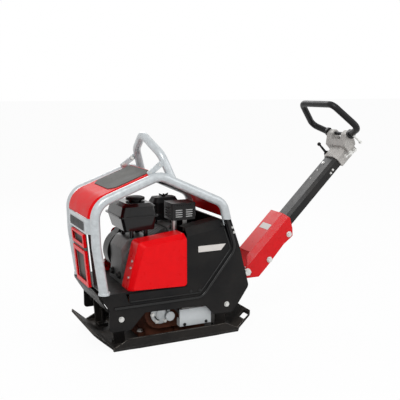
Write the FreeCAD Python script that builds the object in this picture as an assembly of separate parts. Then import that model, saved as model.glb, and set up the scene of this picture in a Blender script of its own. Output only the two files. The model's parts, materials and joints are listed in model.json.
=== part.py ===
import FreeCAD, Part
import math
import os

# Reversible vibratory plate compactor, about 240 kg class.
# Millimetres. +X points to the operator, -Y is the belt side, +Z is up.
# The origin is on the ground, under the middle of the base plate.

V = FreeCAD.Vector
X_DIR = V(1, 0, 0)
Y_DIR = V(0, 1, 0)
Z_DIR = V(0, 0, 1)
FRONT_VIEW = V(0, -1, 0)

# ---- base plate ----
plate_length = 710.0
plate_width = 406.0
plate_thickness = 10.0
sole_inset = 14.0
flange_height = 48.0
flange_thickness = 8.0
flange_end_run = 62.0
lip_height = 80.0
lip_angle = 42.0
lip_bend_radius = 40.0
lip_corner_radius = 46.0
slot_length = 52.0
slot_width = 27.0
slot_edge = 15.0
slot_side_inset = 43.0

# ---- rubber buffers between plate and console ----
buffer_height = 127.0
buffer_radius = 29.0
buffer_gap = 45.0
bracket_thickness = 10.0
bracket_width = 46.0
bracket_foot = 30.0
buffer_bolt = 10.0
front_buffer_inset = 12.0
rear_buffer_inset = 27.0

# ---- exciter ----
exciter_height = 108.0
exciter_shaft_x = 78.0
exciter_second_x = -54.0
exciter_wall = 9.0
exciter_bore_radius = 57.0
exciter_cover_radius = 43.0
exciter_cover_depth = 9.0
exciter_shaft_radius = 17.0
eccentric_radius = 49.0
gear_teeth = 22
gear_width = 18.0
gear_addendum = 4.4
gear_dedendum = 6.6
exciter_pulley_radius = 46.0
cap_radius = 20.0

# ---- console ----
side_inset = 18.0
side_thickness = 6.0
deck_height = 235.0
deck_thickness = 8.0
console_rear_top = 495.0
bead_radius = 6.5
bead_clearance = 6.5
cover_sheet = 2.5
cover_gap = 1.5
red_cover_proud = 7.0
red_cover_shoulder = 25.0
red_cover_depth = 100.0
starter_cover_shoulder = 18.0
starter_cover_depth = 22.0
starter_opening_radius = 66.0

# ---- tube frame ----
tube_diameter = 38.0
tube_wall = 3.0
tube_inset = 7.0
frame_front_height = 592.0
frame_front_radius = 82.0
frame_apex_x = -71.0
frame_apex_height = 694.0
frame_apex_radius = 70.0
frame_rear_height = 564.0
frame_rear_radius = 62.0

# ---- lifting bail ----
bail_diameter = 34.0
bail_height = 848.0
bail_knee_height = 774.0
bail_knee_inset = 33.0
bail_apex_radius = 52.0
bail_knee_radius = 70.0

# ---- hood and grille ----
hood_sheet = 2.5
hood_edge_inset = 21.0
hood_panel_length = 184.0
hood_chamfer_drop = 15.0
band_bottom = 472.0
band_top = 535.0
band_proud = 5.0
grille_proud = 10.0
grille_half_width = 86.0
grille_bottom = 243.0
grille_lower_top = 395.0
grille_upper_bottom = 409.0
grille_lean = 5.2

# ---- engine ----
engine_x = -120.0
crank_above_deck = 106.0
case_half_length = 80.0
case_half_width = 72.0
case_top = 84.0
cylinder_angle = 25.0
cylinder_start = 74.0
fin_count = 9
fin_pitch = 8.0
fin_thickness = 2.6
shaft_radius = 13.0
clutch_radius = 55.0
clutch_width = 26.0
flywheel_radius = 84.0
recoil_radius = 66.0
tank_flange_height = 520.0
tank_bottom = 462.0
tank_top = 572.0
cap_diameter = 80.0
muffler_bottom = 496.0
muffler_top = 567.0

# ---- belt ----
belt_width = 13.0
belt_thickness = 9.0

# ---- drawbar ----
drawbar_angle = 44.5
pivot_height = 222.0
pivot_behind_buffer = 162.0
pivot_radius = 10.0
bracket_half_width = 75.0
bracket_top = 41.0
bracket_sheet = 5.0
bracket_length = 318.0
beam_half_width = 45.0
beam_top = 9.0
beam_bottom = -38.0
beam_chamfer = 13.0
beam_wall = 4.0
beam_start = 190.0
beam_end = 745.0
head_start = 690.0
head_end = 800.0
head_wall = 8.0
loop_tube = 30.0
loop_pivot_s = 808.0
loop_pivot_h = 49.0
loop_pivot_y = 91.0
loop_wide_h = 99.0
loop_wide_y = 181.0
loop_top_h = 247.0
loop_top_y = 122.0

# ---- fits ----
running_fit = 0.05
assembly_gap = 0.5
body_gap = 1.0

# ---- worked out from the sizes above ----
lip_radians = math.radians(lip_angle)
lip_rise_in_bend = lip_bend_radius * (1 - math.cos(lip_radians))
lip_straight_rise = lip_height - plate_thickness - lip_rise_in_bend
lip_run = lip_bend_radius * math.sin(lip_radians) + lip_straight_rise / math.tan(lip_radians)
flat_half = plate_length / 2 - plate_thickness * math.sin(lip_radians) - lip_run
sole_half = plate_width / 2 - sole_inset
front_buffer_x = -(flat_half - front_buffer_inset)
rear_buffer_x = flat_half - rear_buffer_inset
side_y = plate_width / 2 - side_inset
side_inner = side_y - side_thickness
bracket_face = side_inner - buffer_gap
front_x = front_buffer_x - 49.0
rear_x = rear_buffer_x + 107.0
tube_radius = tube_diameter / 2
tube_y = side_y - tube_inset
tube_inner_y = tube_y - tube_radius
exciter_half = side_y - 62.0
belt_y = -(side_y - 43.0)
crank_z = deck_height + crank_above_deck
pivot_x = rear_buffer_x + pivot_behind_buffer
frame_front_x = front_x - 49.0
frame_rear_x = rear_x - 123.0


# ------------------------------------------------------------------ helpers
def at_y(points, y):
    return [V(x, y, z) for x, z in points]


def at_z(points, z):
    return [V(x, y, z) for x, y in points]


def at_x(points, x):
    return [V(x, y, z) for y, z in points]


def corner_arc(before, corner, after, radius):
    to_before = (before - corner).normalize()
    to_after = (after - corner).normalize()
    half = to_before.getAngle(to_after) / 2
    reach = radius / math.tan(half)
    bisector = (to_before + to_after).normalize()
    centre = corner + bisector * (radius / math.sin(half))
    return corner + to_before * reach, centre - bisector * radius, corner + to_after * reach


def radius_list(points, radii):
    if isinstance(radii, (int, float)):
        return [radii] * len(points)
    return radii


def bent_line(points, radii, closed=False):
    radii = radius_list(points, radii)
    count = len(points)
    turning = range(count) if closed else range(1, count - 1)
    arcs = {}
    for i in turning:
        if radii[i] > 0:
            arcs[i] = corner_arc(points[i - 1], points[i], points[(i + 1) % count], radii[i])
    edges = []
    for i in range(count if closed else count - 1):
        j = (i + 1) % count
        start = arcs[i][2] if i in arcs else points[i]
        end = arcs[j][0] if j in arcs else points[j]
        if start.distanceToPoint(end) > 1e-6:
            edges.append(Part.LineSegment(start, end).toShape())
        if j in arcs:
            edges.append(Part.Arc(*arcs[j]).toShape())
    return Part.Wire(edges)


def slab(points, radii, depth):
    return Part.Face(bent_line(points, radii, True)).extrude(depth)


def slab_y(outline, radii, y0, y1):
    return slab(at_y(outline, y0), radii, V(0, y1 - y0, 0))


def slab_z(outline, radii, z0, z1):
    return slab(at_z(outline, z0), radii, V(0, 0, z1 - z0))


def slab_x(outline, radii, x0, x1):
    return slab(at_x(outline, x0), radii, V(x1 - x0, 0, 0))


def offset_line(points, radii, distance, normal, closed=False):
    # moves a line of points to its left, seen against the normal, and keeps its bends concentric
    count = len(points)
    moved = []
    new_radii = []
    for i, here in enumerate(points):
        first = i == 0 and not closed
        last = i == count - 1 and not closed
        ahead = (points[(i + 1) % count] - here).normalize() if not last else None
        behind = (here - points[i - 1]).normalize() if not first else None
        if first or last:
            side = normal.cross(ahead or behind)
            moved.append(here + side * distance)
            new_radii.append(0)
            continue
        side_in = normal.cross(behind)
        side_out = normal.cross(ahead)
        mitre = (side_in + side_out).normalize()
        moved.append(here + mitre * (distance / mitre.dot(side_in)))
        left_turn = behind.cross(ahead).dot(normal) > 0
        grown = radii[i] - distance if left_turn else radii[i] + distance
        new_radii.append(max(grown, 0) if radii[i] > 0 else 0)
    return moved, new_radii


def sheet(points, radii, thickness, normal, depth):
    # a bent sheet: the line is its right-hand face and the thickness grows to the left
    radii = radius_list(points, radii)
    other, other_radii = offset_line(points, radii, thickness, normal)
    outline = points + other[::-1]
    return slab(outline, radii + other_radii[::-1], depth)


def shrink(outline, distance):
    # a closed outline listed anticlockwise, moved inwards
    flat = at_z(outline, 0)
    moved, _ = offset_line(flat, [0] * len(flat), distance, Z_DIR, True)
    return [(p.x, p.y) for p in moved]


def box(x0, x1, y0, y1, z0, z1):
    return Part.makeBox(x1 - x0, y1 - y0, z1 - z0, V(x0, y0, z0))


def rod(start, end, radius):
    along = end - start
    return Part.makeCylinder(radius, along.Length, start, along)


def disc_y(x, z, radius, y0, y1):
    return rod(V(x, y0, z), V(x, y1, z), radius)


def ring_y(x, z, outer, inner, y0, y1):
    return disc_y(x, z, outer, y0, y1).cut(disc_y(x, z, inner, y0, y1))


def pipe(points, radii, radius):
    path = bent_line(points, radii)
    circle = Part.Wire(Part.Circle(points[0], points[1] - points[0], radius).toShape())
    return path.makePipeShell([circle], True, True)


def tube(points, radii, radius, wall):
    return pipe(points, radii, radius).cut(pipe(points, radii, radius - wall))


def hexagon(at, axis, across, height):
    side = axis.cross(Z_DIR if abs(axis.z) < 0.9 else X_DIR).normalize()
    other = axis.cross(side).normalize()
    corners = []
    for i in range(6):
        turn = math.radians(60 * i)
        reach = across / math.sqrt(3)
        corners.append(at + side * (math.cos(turn) * reach) + other * (math.sin(turn) * reach))
    return slab(corners, 0, axis * height)


def bolt(at, axis, size, grip):
    # at is on the clamped face; the head stands out along axis and the shank goes in
    axis = V(axis).normalize()
    washer = rod(at, at + axis * (size * 0.18), size * 1.15)
    head = hexagon(at + axis * (size * 0.18), axis, size * 1.6, size * 0.62)
    shank = rod(at - axis * grip, at + axis * (size * 0.3), size / 2)
    return washer.fuse(head).fuse(shank).removeSplitter()


def bolts(places, size, grip):
    return Part.makeCompound([bolt(at, axis, size, grip) for at, axis in places])


def drill(shape, places, size, grip):
    for at, axis in places:
        axis = V(axis).normalize()
        shape = shape.cut(rod(at - axis * (grip + 0.2), at + axis * 0.2, size / 2 + running_fit))
    return shape


def mirrored(shape):
    return shape.mirror(V(0, 0, 0), Y_DIR)


def both_sides(shape):
    return Part.makeCompound([shape, mirrored(shape)])


def rounded_block(x0, x1, y0, y1, z0, z1, radius):
    outline = [(x0, y0), (x1, y0), (x1, y1), (x0, y1)]
    return slab_z(outline, radius, z0, z1)


def loft(lower, upper):
    return Part.makeLoft([lower, upper], True, True)


def rounded_rectangle(x0, x1, y0, y1, z, radius):
    return bent_line(at_z([(x0, y0), (x1, y0), (x1, y1), (x0, y1)], z), radius, True)


def along_bar(s, h, y):
    # s runs up the drawbar from its pivot, h stands square to it
    turn = math.radians(drawbar_angle)
    x = pivot_x + s * math.cos(turn) - h * math.sin(turn)
    z = pivot_height + s * math.sin(turn) + h * math.cos(turn)
    return V(x, y, z)


def lay_on_bar(shape):
    # takes a shape drawn with x = s and z = h to its place on the drawbar
    placed = shape.copy()
    placed.rotate(V(0, 0, 0), Y_DIR, -drawbar_angle)
    placed.translate(V(pivot_x, 0, pivot_height))
    return placed


# ------------------------------------------------------------------ base plate
def base_plate():
    bend = [0, lip_bend_radius, lip_bend_radius, 0]
    tip_x = plate_length / 2 - plate_thickness * math.sin(lip_radians)
    corner_x = tip_x - (lip_height - plate_thickness) / math.tan(lip_radians)
    top_line = [(-tip_x, lip_height), (-corner_x, plate_thickness), (corner_x, plate_thickness), (tip_x, lip_height)]
    body = sheet(at_y(top_line, -plate_width)[::-1], bend, plate_thickness, FRONT_VIEW, V(0, 2 * plate_width, 0))
    half = plate_width / 2 - 5
    neck = tip_x * 0.5
    plan = [(-tip_x - 20, -half + 14), (-neck, -half), (neck, -half), (tip_x + 20, -half + 14)]
    plan = plan + [(x, -y) for x, y in plan[::-1]]
    plan_radii = 8.0
    body = body.common(slab_z(plan, plan_radii, -1, lip_height + 40))
    body = body.common(lip_outline(tip_x, half))
    for x_sign in (-1, 1):
        for y_sign in (-1, 1):
            body = body.cut(lip_slot(x_sign, y_sign))
    for y_sign in (-1, 1):
        body = body.fuse(side_flange(y_sign))
    return body.removeSplitter()


def lip_outline(tip_x, half):
    outline = [(-tip_x - 7, -half), (tip_x + 7, -half), (tip_x + 7, half), (-tip_x - 7, half)]
    return slab_z(outline, lip_corner_radius, -1, lip_height + 40)


def lip_slot(x_sign, y_sign):
    outer = plate_length / 2 - slot_edge
    x0 = min(x_sign * outer, x_sign * (outer - slot_width))
    y0 = y_sign * (plate_width / 2 - slot_side_inset) - slot_length / 2
    outline = [(x0, y0), (x0 + slot_width, y0), (x0 + slot_width, y0 + slot_length), (x0, y0 + slot_length)]
    return slab_z(outline, 6.0, 0, lip_height + 40)


def side_flange(y_sign):
    outer = plate_width / 2
    low = sole_half - 6
    profile = [(low, 0), (low + 12, 0), (outer, 14), (outer, flange_height)]
    profile = profile + [(outer - flange_thickness, flange_height), (outer - flange_thickness, 16), (low, 9)]
    reach = flat_half + flange_end_run * 0.4
    strip = slab_x(profile, 0, -reach, reach)
    side = [(-reach, 0), (reach, 0), (reach, 18), (reach - flange_end_run, flange_height)]
    side = side + [(-reach + flange_end_run, flange_height), (-reach, 18)]
    strip = strip.common(slab_y(side, 0, 0, plate_width))
    return strip if y_sign > 0 else mirrored(strip)


# ------------------------------------------------------------------ buffers
def buffer_places():
    places = []
    for x in (front_buffer_x, rear_buffer_x):
        for y_sign in (-1, 1):
            places.append((x, y_sign))
    return places


def buffer_bolt_places():
    return [(V(x, s * side_y, buffer_height), V(0, s, 0)) for x, s in buffer_places()]


def buffer_brackets():
    pieces = []
    for x, y_sign in buffer_places():
        half = bracket_width / 2
        foot_x = x + (front_buffer_inset if x < 0 else -3) - 2
        top = buffer_height + half
        face = [(foot_x - half, plate_thickness), (foot_x + half, plate_thickness), (x + half, buffer_height)]
        face = face + [(x + half, top), (x - half, top), (x - half, buffer_height)]
        upright = slab_y(face, [0, 0, 0, 12, 12, 0], bracket_face - bracket_thickness, bracket_face)
        inner = bracket_face - bracket_thickness
        foot = box(foot_x - half, foot_x + half, inner - bracket_foot, inner, plate_thickness, plate_thickness + 12)
        rib = [(inner - bracket_foot, plate_thickness + 12), (inner, plate_thickness + 12), (inner, buffer_height)]
        gusset = slab_x(rib, 0, foot_x - 4, foot_x + 4)
        piece = upright.fuse(foot).fuse(gusset).removeSplitter()
        pieces.append(piece if y_sign > 0 else mirrored(piece))
    return Part.makeCompound(pieces)


def rubber_buffers():
    pieces = []
    for x, y_sign in buffer_places():
        waist = buffer_radius - 3
        middle = (side_inner + bracket_face) / 2
        half = ring_half(x, bracket_face, middle, buffer_radius, waist)
        other = ring_half(x, side_inner, middle, buffer_radius, waist)
        piece = half.fuse(other).removeSplitter()
        hole = disc_y(x, buffer_height, buffer_bolt / 2 + running_fit, side_inner - 26, side_inner + 1)
        piece = piece.cut(hole)
        pieces.append(piece if y_sign > 0 else mirrored(piece))
    return Part.makeCompound(pieces)


def ring_half(x, y_end, y_middle, end_radius, waist_radius):
    start = V(x, y_end, buffer_height)
    along = V(0, y_middle - y_end, 0)
    return Part.makeCone(end_radius, waist_radius, along.Length, start, along)


# ------------------------------------------------------------------ exciter
def exciter_axis_xs():
    return (exciter_second_x, exciter_shaft_x)


def exciter_housing():
    outer = exciter_bore_radius + exciter_wall
    y0 = -exciter_half
    y1 = exciter_half
    shell = None
    for x in exciter_axis_xs():
        barrel = disc_y(x, exciter_height, outer, y0, y1)
        foot = box(x - outer + 8, x + outer - 8, y0 + 20, y1 - 20, plate_thickness, exciter_height - 30)
        shell = barrel.fuse(foot) if shell is None else shell.fuse(barrel).fuse(foot)
    x0 = exciter_second_x
    x1 = exciter_shaft_x
    shell = shell.fuse(box(x0, x1, y0, y1, exciter_height - outer, exciter_height + outer * 0.78))
    pad = box(x0 - outer - 22, x1 + outer + 20, y0 + 26, y1 - 26, plate_thickness, plate_thickness + 16)
    shell = shell.fuse(pad)
    for x in exciter_axis_xs():
        shell = shell.cut(disc_y(x, exciter_height, exciter_bore_radius, y0 + 22, y1 + 1))
        shell = shell.cut(disc_y(x, exciter_height, bearing_radius() + running_fit, y0 - 1, y0 + 23))
    gear_room = gear_pitch_radius() + gear_addendum + 3
    for x in exciter_axis_xs():
        room = disc_y(x, exciter_height, gear_room, y1 - gear_width - 12, y1 + 1)
        shell = shell.cut(room.common(gear_casing(gear_room)))
    shell = shell.fuse(gear_wall(gear_room, outer))
    shell = drill(shell, exciter_foot_places(), 12, 22)
    shell = drill(shell, exciter_cover_places(), 8, 14)
    return shell.removeSplitter()


def gear_casing(room):
    x0 = exciter_second_x - room - 1
    x1 = exciter_shaft_x + room + 1
    return box(x0, x1, -side_y, side_y, exciter_height - room - 1, exciter_height + room + 1)


def gear_wall(room, outer):
    # a wider collar round the gear chamber on the far end of the casting
    wall_outer = room + 6
    y0 = exciter_half - gear_width - 14
    y1 = exciter_half
    collar = None
    hollow = None
    for x in exciter_axis_xs():
        disc = disc_y(x, exciter_height, wall_outer, y0, y1)
        bore = disc_y(x, exciter_height, room, y0 - 1, y1 + 1)
        collar = disc if collar is None else collar.fuse(disc)
        hollow = bore if hollow is None else hollow.fuse(bore)
    middle = box(exciter_second_x, exciter_shaft_x, y0, y1, exciter_height - outer, exciter_height + outer)
    return collar.fuse(middle).cut(hollow)


def bearing_radius():
    return exciter_shaft_radius + 14


def gear_pitch_radius():
    return (exciter_shaft_x - exciter_second_x) / 2


def exciter_foot_places():
    z = plate_thickness + 16
    reach = exciter_bore_radius + exciter_wall
    xs = (exciter_second_x - reach - 7, exciter_shaft_x + reach + 6)
    return [(V(x, y, z), Z_DIR) for x in xs for y in (-exciter_half + 44, exciter_half - 44)]


def exciter_cover_places():
    places = []
    reach = exciter_cover_radius - 6
    for i in range(5):
        turn = math.radians(60 * (i + 1))
        x = exciter_second_x + math.cos(turn) * reach
        z = exciter_height + math.sin(turn) * reach
        places.append((V(x, -exciter_half - exciter_cover_depth, z), V(0, -1, 0)))
    return places


def exciter_end_covers():
    y0 = -exciter_half
    x = exciter_second_x
    near = disc_y(x, exciter_height, exciter_cover_radius, y0 - exciter_cover_depth, y0)
    near = near.fuse(disc_y(x, exciter_height, 20, y0 - exciter_cover_depth - 3, y0 - 1))
    near = near.cut(disc_y(x, exciter_height, bearing_radius() - 3, y0 - 4, y0 + 1))
    near = drill(near, exciter_cover_places(), 8, 14)
    collar_x = exciter_shaft_x
    collar = disc_y(collar_x, exciter_height, exciter_cover_radius - 4, y0 - 5, y0)
    collar = collar.cut(disc_y(collar_x, exciter_height, exciter_shaft_radius + assembly_gap, y0 - 9, y0 + 1))
    cap_x = exciter_second_x + exciter_cover_radius - 4
    cap_z = exciter_height - 13
    cap_y = y0 - exciter_cover_depth - 4
    cap = disc_y(cap_x, cap_z, cap_radius, cap_y - 8, cap_y)
    neck = disc_y(cap_x, cap_z, cap_radius - 6, cap_y - 1, y0 - exciter_cover_depth)
    room = gear_pitch_radius() + gear_addendum + 9
    far = None
    for x in exciter_axis_xs():
        disc = disc_y(x, exciter_height, room, exciter_half, exciter_half + 8)
        far = disc if far is None else far.fuse(disc)
    for x in exciter_axis_xs():
        far = far.cut(disc_y(x, exciter_height, bearing_radius() + running_fit, exciter_half - 1, exciter_half + 9))
        boss = disc_y(x, exciter_height, bearing_radius() + 8, exciter_half + 8, exciter_half + 22)
        room_bore = disc_y(x, exciter_height, bearing_radius() + running_fit, exciter_half + 7, exciter_half + 18)
        far = far.fuse(boss.cut(room_bore))
    return Part.makeCompound([near, collar, cap.fuse(neck).removeSplitter(), far.removeSplitter()])


def exciter_bearings():
    pieces = []
    y0 = -exciter_half
    for x in exciter_axis_xs():
        inner = exciter_shaft_radius + running_fit
        pieces.append(ring_y(x, exciter_height, bearing_radius(), inner, y0 + 3, y0 + 22))
        pieces.append(ring_y(x, exciter_height, bearing_radius(), inner, exciter_half + 1, exciter_half + 17))
    return Part.makeCompound(pieces)


def gear(x, turn_offset, y0, y1):
    pitch = gear_pitch_radius()
    tip = pitch + gear_addendum
    root = pitch - gear_dedendum
    step = 2 * math.pi / gear_teeth
    corners = []
    for i in range(gear_teeth):
        middle = step * (i + turn_offset)
        for radius, share in ((root, -0.27), (tip, -0.10), (tip, 0.10), (root, 0.27)):
            angle = middle + step * share
            corners.append((x + radius * math.cos(angle), exciter_height + radius * math.sin(angle)))
    return slab_y(corners, 0, y0, y1)


def eccentric_shaft(x, turn_offset, near_end):
    gear_y1 = exciter_half - 4
    gear_y0 = gear_y1 - gear_width
    shaft = disc_y(x, exciter_height, exciter_shaft_radius, near_end, exciter_half + 16)
    weight = disc_y(x, exciter_height, eccentric_radius, -exciter_half + 32, gear_y0 - 14)
    upper = box(x - 80, x + 80, -side_y, side_y, exciter_height + 4, exciter_height + 90)
    weight = weight.cut(upper)
    wheel = gear(x, turn_offset, gear_y0, gear_y1)
    return shaft.fuse(weight).fuse(wheel).removeSplitter()


def groove_pulley(x, z, radius, width, hub_radius, y_middle):
    # a V-pulley whose groove floor lies under the belt
    half = width / 2
    lip = radius + 2
    floor = radius - belt_thickness - 2
    slot = belt_width / 2 + 1.2
    profile = [(hub_radius, -half), (lip, -half), (lip, -slot), (floor, -slot + 0.6)]
    profile = profile + [(floor, slot - 0.6), (lip, slot), (lip, half), (hub_radius, half)]
    points = [V(x + r, y_middle + y, z) for r, y in profile]
    face = Part.Face(bent_line(points, 0, True))
    return face.revolve(V(x, y_middle, z), Y_DIR, 360)


def exciter_pulley():
    return groove_pulley(exciter_shaft_x, exciter_height, exciter_pulley_radius, 22, exciter_shaft_radius, belt_y)


def lower_belt_guard():
    x0 = exciter_shaft_x - 57
    x1 = exciter_shaft_x + 88
    z0 = exciter_height - 60
    z1 = exciter_height + 14
    outline = [(x0, z0), (x1, z0), (x1, z1 - 24), (x1 - 22, z1), (x0, z1)]
    y0 = belt_y - 18
    y1 = belt_y + 14
    shell = slab_y(outline, 0, y0, y1)
    inner = shrink(outline, cover_sheet)
    shell = shell.cut(slab_y(inner, 0, y0 + cover_sheet, y1 + 1))
    top = box(x0 + 10, x1 - 26, y0 + cover_sheet, y1 + 1, z1 - 10, z1 + 10)
    shell = shell.cut(top)
    tab = box(x0, x0 + 26, y1 - 3, y1, z0, z0 + 20)
    other_tab = box(x1 - 26, x1, y1 - 3, y1, z0, z0 + 20)
    belt_way = box(x0 - 1, x0 + 12, belt_y - 9, y1 + 1, z0 + 34, z1 + 1)
    return shell.fuse(tab).fuse(other_tab).cut(belt_way).removeSplitter()


# ------------------------------------------------------------------ console
def side_outline():
    lobe_low = 78.0
    fx = front_buffer_x
    rx = rear_buffer_x
    outline = [(front_x - 40, deck_height), (front_x, deck_height - 67)]
    outline = outline + [(front_x, lobe_low), (fx + 40, lobe_low), (fx + 101, 142)]
    outline = outline + [(rx - 99, 134), (rx - 63, lobe_low + 14), (rx + 22, lobe_low + 10)]
    outline = outline + [(rx + 57, 124), (rx + 107, 196), (rx + 60, 375), (rx + 18, console_rear_top)]
    return outline


def bead_line():
    fx = front_x
    rx = rear_buffer_x
    return [(fx + 20, 174), (rx - 115, 174), (rx + 41, 367), (rx + 1, console_rear_top - 2)]


def opening_floor():
    # lower edge of the cover opening, clear of the bead
    return bead_line()[0][1] + bead_radius + bead_clearance


def side_plate_near():
    radii = [0, 0, 14, 14, 8, 8, 14, 16, 20, 26, 30, 6]
    bead = bead_line()
    inner = [(rear_buffer_x - 12, console_rear_top), (bead[2][0] - 14, bead[2][1] + 1)]
    inner = inner + [(bead[1][0] - 6, opening_floor()), (front_x + 82, opening_floor())]
    inner = inner + [(front_x + 68, deck_height)]
    outline = side_outline() + inner
    radii = radii + [0, 0, 0, 8, 0]
    return slab_y(outline, radii, -side_y, -side_inner)


def side_plate_far():
    outline = side_outline()
    inner = [(rear_buffer_x - 12, console_rear_top), (rear_buffer_x - 182, console_rear_top - 30)]
    inner = inner + [(rear_buffer_x - 182, opening_floor()), (front_x + 82, opening_floor())]
    inner = inner + [(front_x + 68, deck_height)]
    radii = [0, 0, 14, 14, 8, 8, 14, 16, 20, 26, 30, 6, 0, 6, 10, 8, 0]
    return slab_y(outline + inner, radii, side_inner, side_y)


def edge_beads():
    pieces = []
    for y_sign in (-1, 1):
        y = y_sign * (side_y + 0.2)
        points = at_y(bead_line(), y)
        bar = pipe(points, [0, 55, 60, 0], bead_radius)
        keep = y + y_sign * (bead_radius + 1)
        room = box(-500, 500, min(y_sign * side_y, keep), max(y_sign * side_y, keep), 0, 600)
        pieces.append(bar.common(room))
    return Part.makeCompound(pieces)


def engine_deck():
    x0 = front_x - 24
    x1 = rear_x - 60
    deck = box(x0, x1, -side_inner, side_inner, deck_height - deck_thickness, deck_height)
    slot = box(engine_x - 20, exciter_shaft_x + 2, belt_y - 18, belt_y + 18, deck_height - 20, deck_height + 1)
    deck = deck.cut(slot)
    rib = box(x0 + 60, x1 - 40, -72, -66, deck_height - deck_thickness - 30, deck_height - deck_thickness)
    deck = deck.fuse(rib).fuse(mirrored(rib))
    deck = drill(deck, engine_bolt_places(), 10, 14 + deck_thickness)
    return deck.removeSplitter()


def front_cross_member():
    line = [(front_x - 42, deck_height - 2), (front_x - 40, deck_height - 14), (front_x - 2, deck_height - 76)]
    points = at_y(line, -side_inner)
    return sheet(points, [0, 14, 0], 5, FRONT_VIEW, V(0, 2 * side_inner, 0))


def rear_line():
    rx = rear_buffer_x
    return [(rx + 40, 128), (rx + 92, 200), (rx + 50, 372), (rx + 10, console_rear_top - 12)]


def rear_cross_member():
    plate = sheet(at_y(rear_line(), -side_inner), [0, 22, 26, 0], 5, FRONT_VIEW, V(0, 2 * side_inner, 0))
    lug_x0 = rear_buffer_x + 84
    outline = [(lug_x0, pivot_height - 40), (pivot_x, pivot_height - 19), (pivot_x + 19, pivot_height)]
    outline = outline + [(pivot_x, pivot_height + 19), (lug_x0 - 8, pivot_height + 19)]
    for y in (30.0, -42.0):
        lug = slab_y(outline, [0, 12, 12, 12, 0], y, y + 12)
        plate = plate.fuse(lug.cut(rear_space()))
    bore = disc_y(pivot_x, pivot_height, pivot_radius + running_fit, -60, 60)
    plate = plate.cut(bore)
    for y_sign in (-1, 1):
        plate = plate.cut(frame_outer(y_sign))
    return plate.removeSplitter()


def rear_space():
    # everything in front of the rear cross member's outer face
    line = rear_line()
    outline = [(-100, 100), line[0], line[1], line[2], line[3], (-100, 600)]
    return slab_y(outline, 0, -300, 300)


def drawbar_stop():
    # rubber blocks on the cross member that the bracket's lower end leans on
    low = along_bar(-21 - body_gap, -20, 0)
    high = along_bar(-18.5 - body_gap, -8, 0)
    x0 = rear_buffer_x + 60
    outline = [(x0, low.z - 2), (low.x, low.z), (high.x, high.z), (x0, high.z + 4)]
    block = slab_y(outline, 0, 46, bracket_half_width - bracket_sheet - 2)
    return both_sides(block.cut(rear_space()))


# ------------------------------------------------------------------ covers
def red_face():
    return [(-195, 241), (40, 232), (40, 434), (-142, 412)]


def red_outer():
    return [(-211, 229), (40, 229), (40, 450), (-160, 428)]


def red_corner_radii():
    return [10, 14, 6, 22]


def red_shell(y_sign, shoulder_depth, back_depth):
    y_face = side_y + red_cover_proud
    solid = red_solid(0, y_face, y_face - shoulder_depth, y_face - back_depth)
    shoulder = y_face - shoulder_depth - cover_sheet * 0.6
    hollow = red_solid(cover_sheet, y_face - cover_sheet, shoulder, y_face - back_depth - cover_sheet)
    shell = solid.cut(hollow)
    seat = box(-400, 400, 0, side_inner + assembly_gap, deck_height - 30, deck_height + assembly_gap)
    shell = shell.cut(seat)
    return shell if y_sign > 0 else mirrored(shell)


def red_solid(inset, y_face, y_shoulder, y_back):
    radii = [radius - inset for radius in red_corner_radii()]
    face = shrink(red_face(), inset)
    outer = shrink(red_outer(), inset)
    return chamfered_solid(face, outer, radii, y_face, y_shoulder, y_back)


def chamfered_solid(face, outer, radii, y_face, y_shoulder, y_back):
    front = bent_line(at_y(face, y_face), radii, True)
    shoulder = bent_line(at_y(outer, y_shoulder), radii, True)
    solid = Part.makeLoft([front, shoulder], True, True)
    return solid.fuse(slab_y(outer, radii, y_shoulder, y_back)).removeSplitter()


def belt_cover_front():
    return red_shell(-1, red_cover_shoulder, red_cover_depth)


def black_outline():
    bead = bead_line()
    left = 41 + assembly_gap
    low = opening_floor() + cover_gap
    outline = [(left, low), (bead[1][0] - 6 - cover_gap, low), (bead[2][0] - 14 - cover_gap, bead[2][1])]
    return outline + [(rear_buffer_x - 20, console_rear_top), (left, console_rear_top - 27)]


def belt_cover_rear():
    outer = black_outline()
    top_drop = 31
    face = outer[:3] + [(outer[3][0] + 7, outer[3][1] - top_drop), (outer[4][0], outer[4][1] - top_drop)]
    y = side_y + 1
    solid = chamfered_solid(face, outer, 0, -y, -(y - 26), -(y - 90))
    inner_outer = shrink(outer, cover_sheet)
    inner_face = shrink(face, cover_sheet)
    hollow = chamfered_solid(inner_face, inner_outer, 0, -(y - cover_sheet), -(y - 26), -(y - 95))
    shell = solid.cut(hollow)
    side_cut = box(40, 41 + assembly_gap + cover_sheet + 1, -(y - cover_sheet), 0, 150, 600)
    shell = shell.cut(side_cut)
    under = box(-300, 500, -side_inner - assembly_gap, 0, 100, deck_height + assembly_gap)
    shell = shell.cut(under)
    strip_end = front_x + 82 + cover_gap
    strip = box(strip_end, 43, -side_y - 1, -side_y + 1.5, opening_floor() + cover_gap, deck_height - 7)
    return shell.fuse(strip).removeSplitter()


def starter_side_cover():
    shell = red_shell(1, starter_cover_shoulder, starter_cover_depth)
    return shell.cut(disc_y(engine_x, crank_z - 6, starter_opening_radius, 0, 400))


def cover_screw_places():
    places = []
    y = side_y + 1
    red_y = side_y + red_cover_proud
    for x, z in ((-182, 254), (-146, 392), (24, 250), (24, 416)):
        places.append((V(x, red_y, z), V(0, 1, 0)))
    for x, z in ((rear_buffer_x - 24, 476), (rear_buffer_x - 128, 205), (60, 205)):
        places.append((V(x, -y, z), V(0, -1, 0)))
    for z in (exciter_height - 52, ):
        for x in (exciter_shaft_x - 35, exciter_shaft_x + 65):
            places.append((V(x, belt_y - 18, z), V(0, -1, 0)))
    return places


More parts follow.
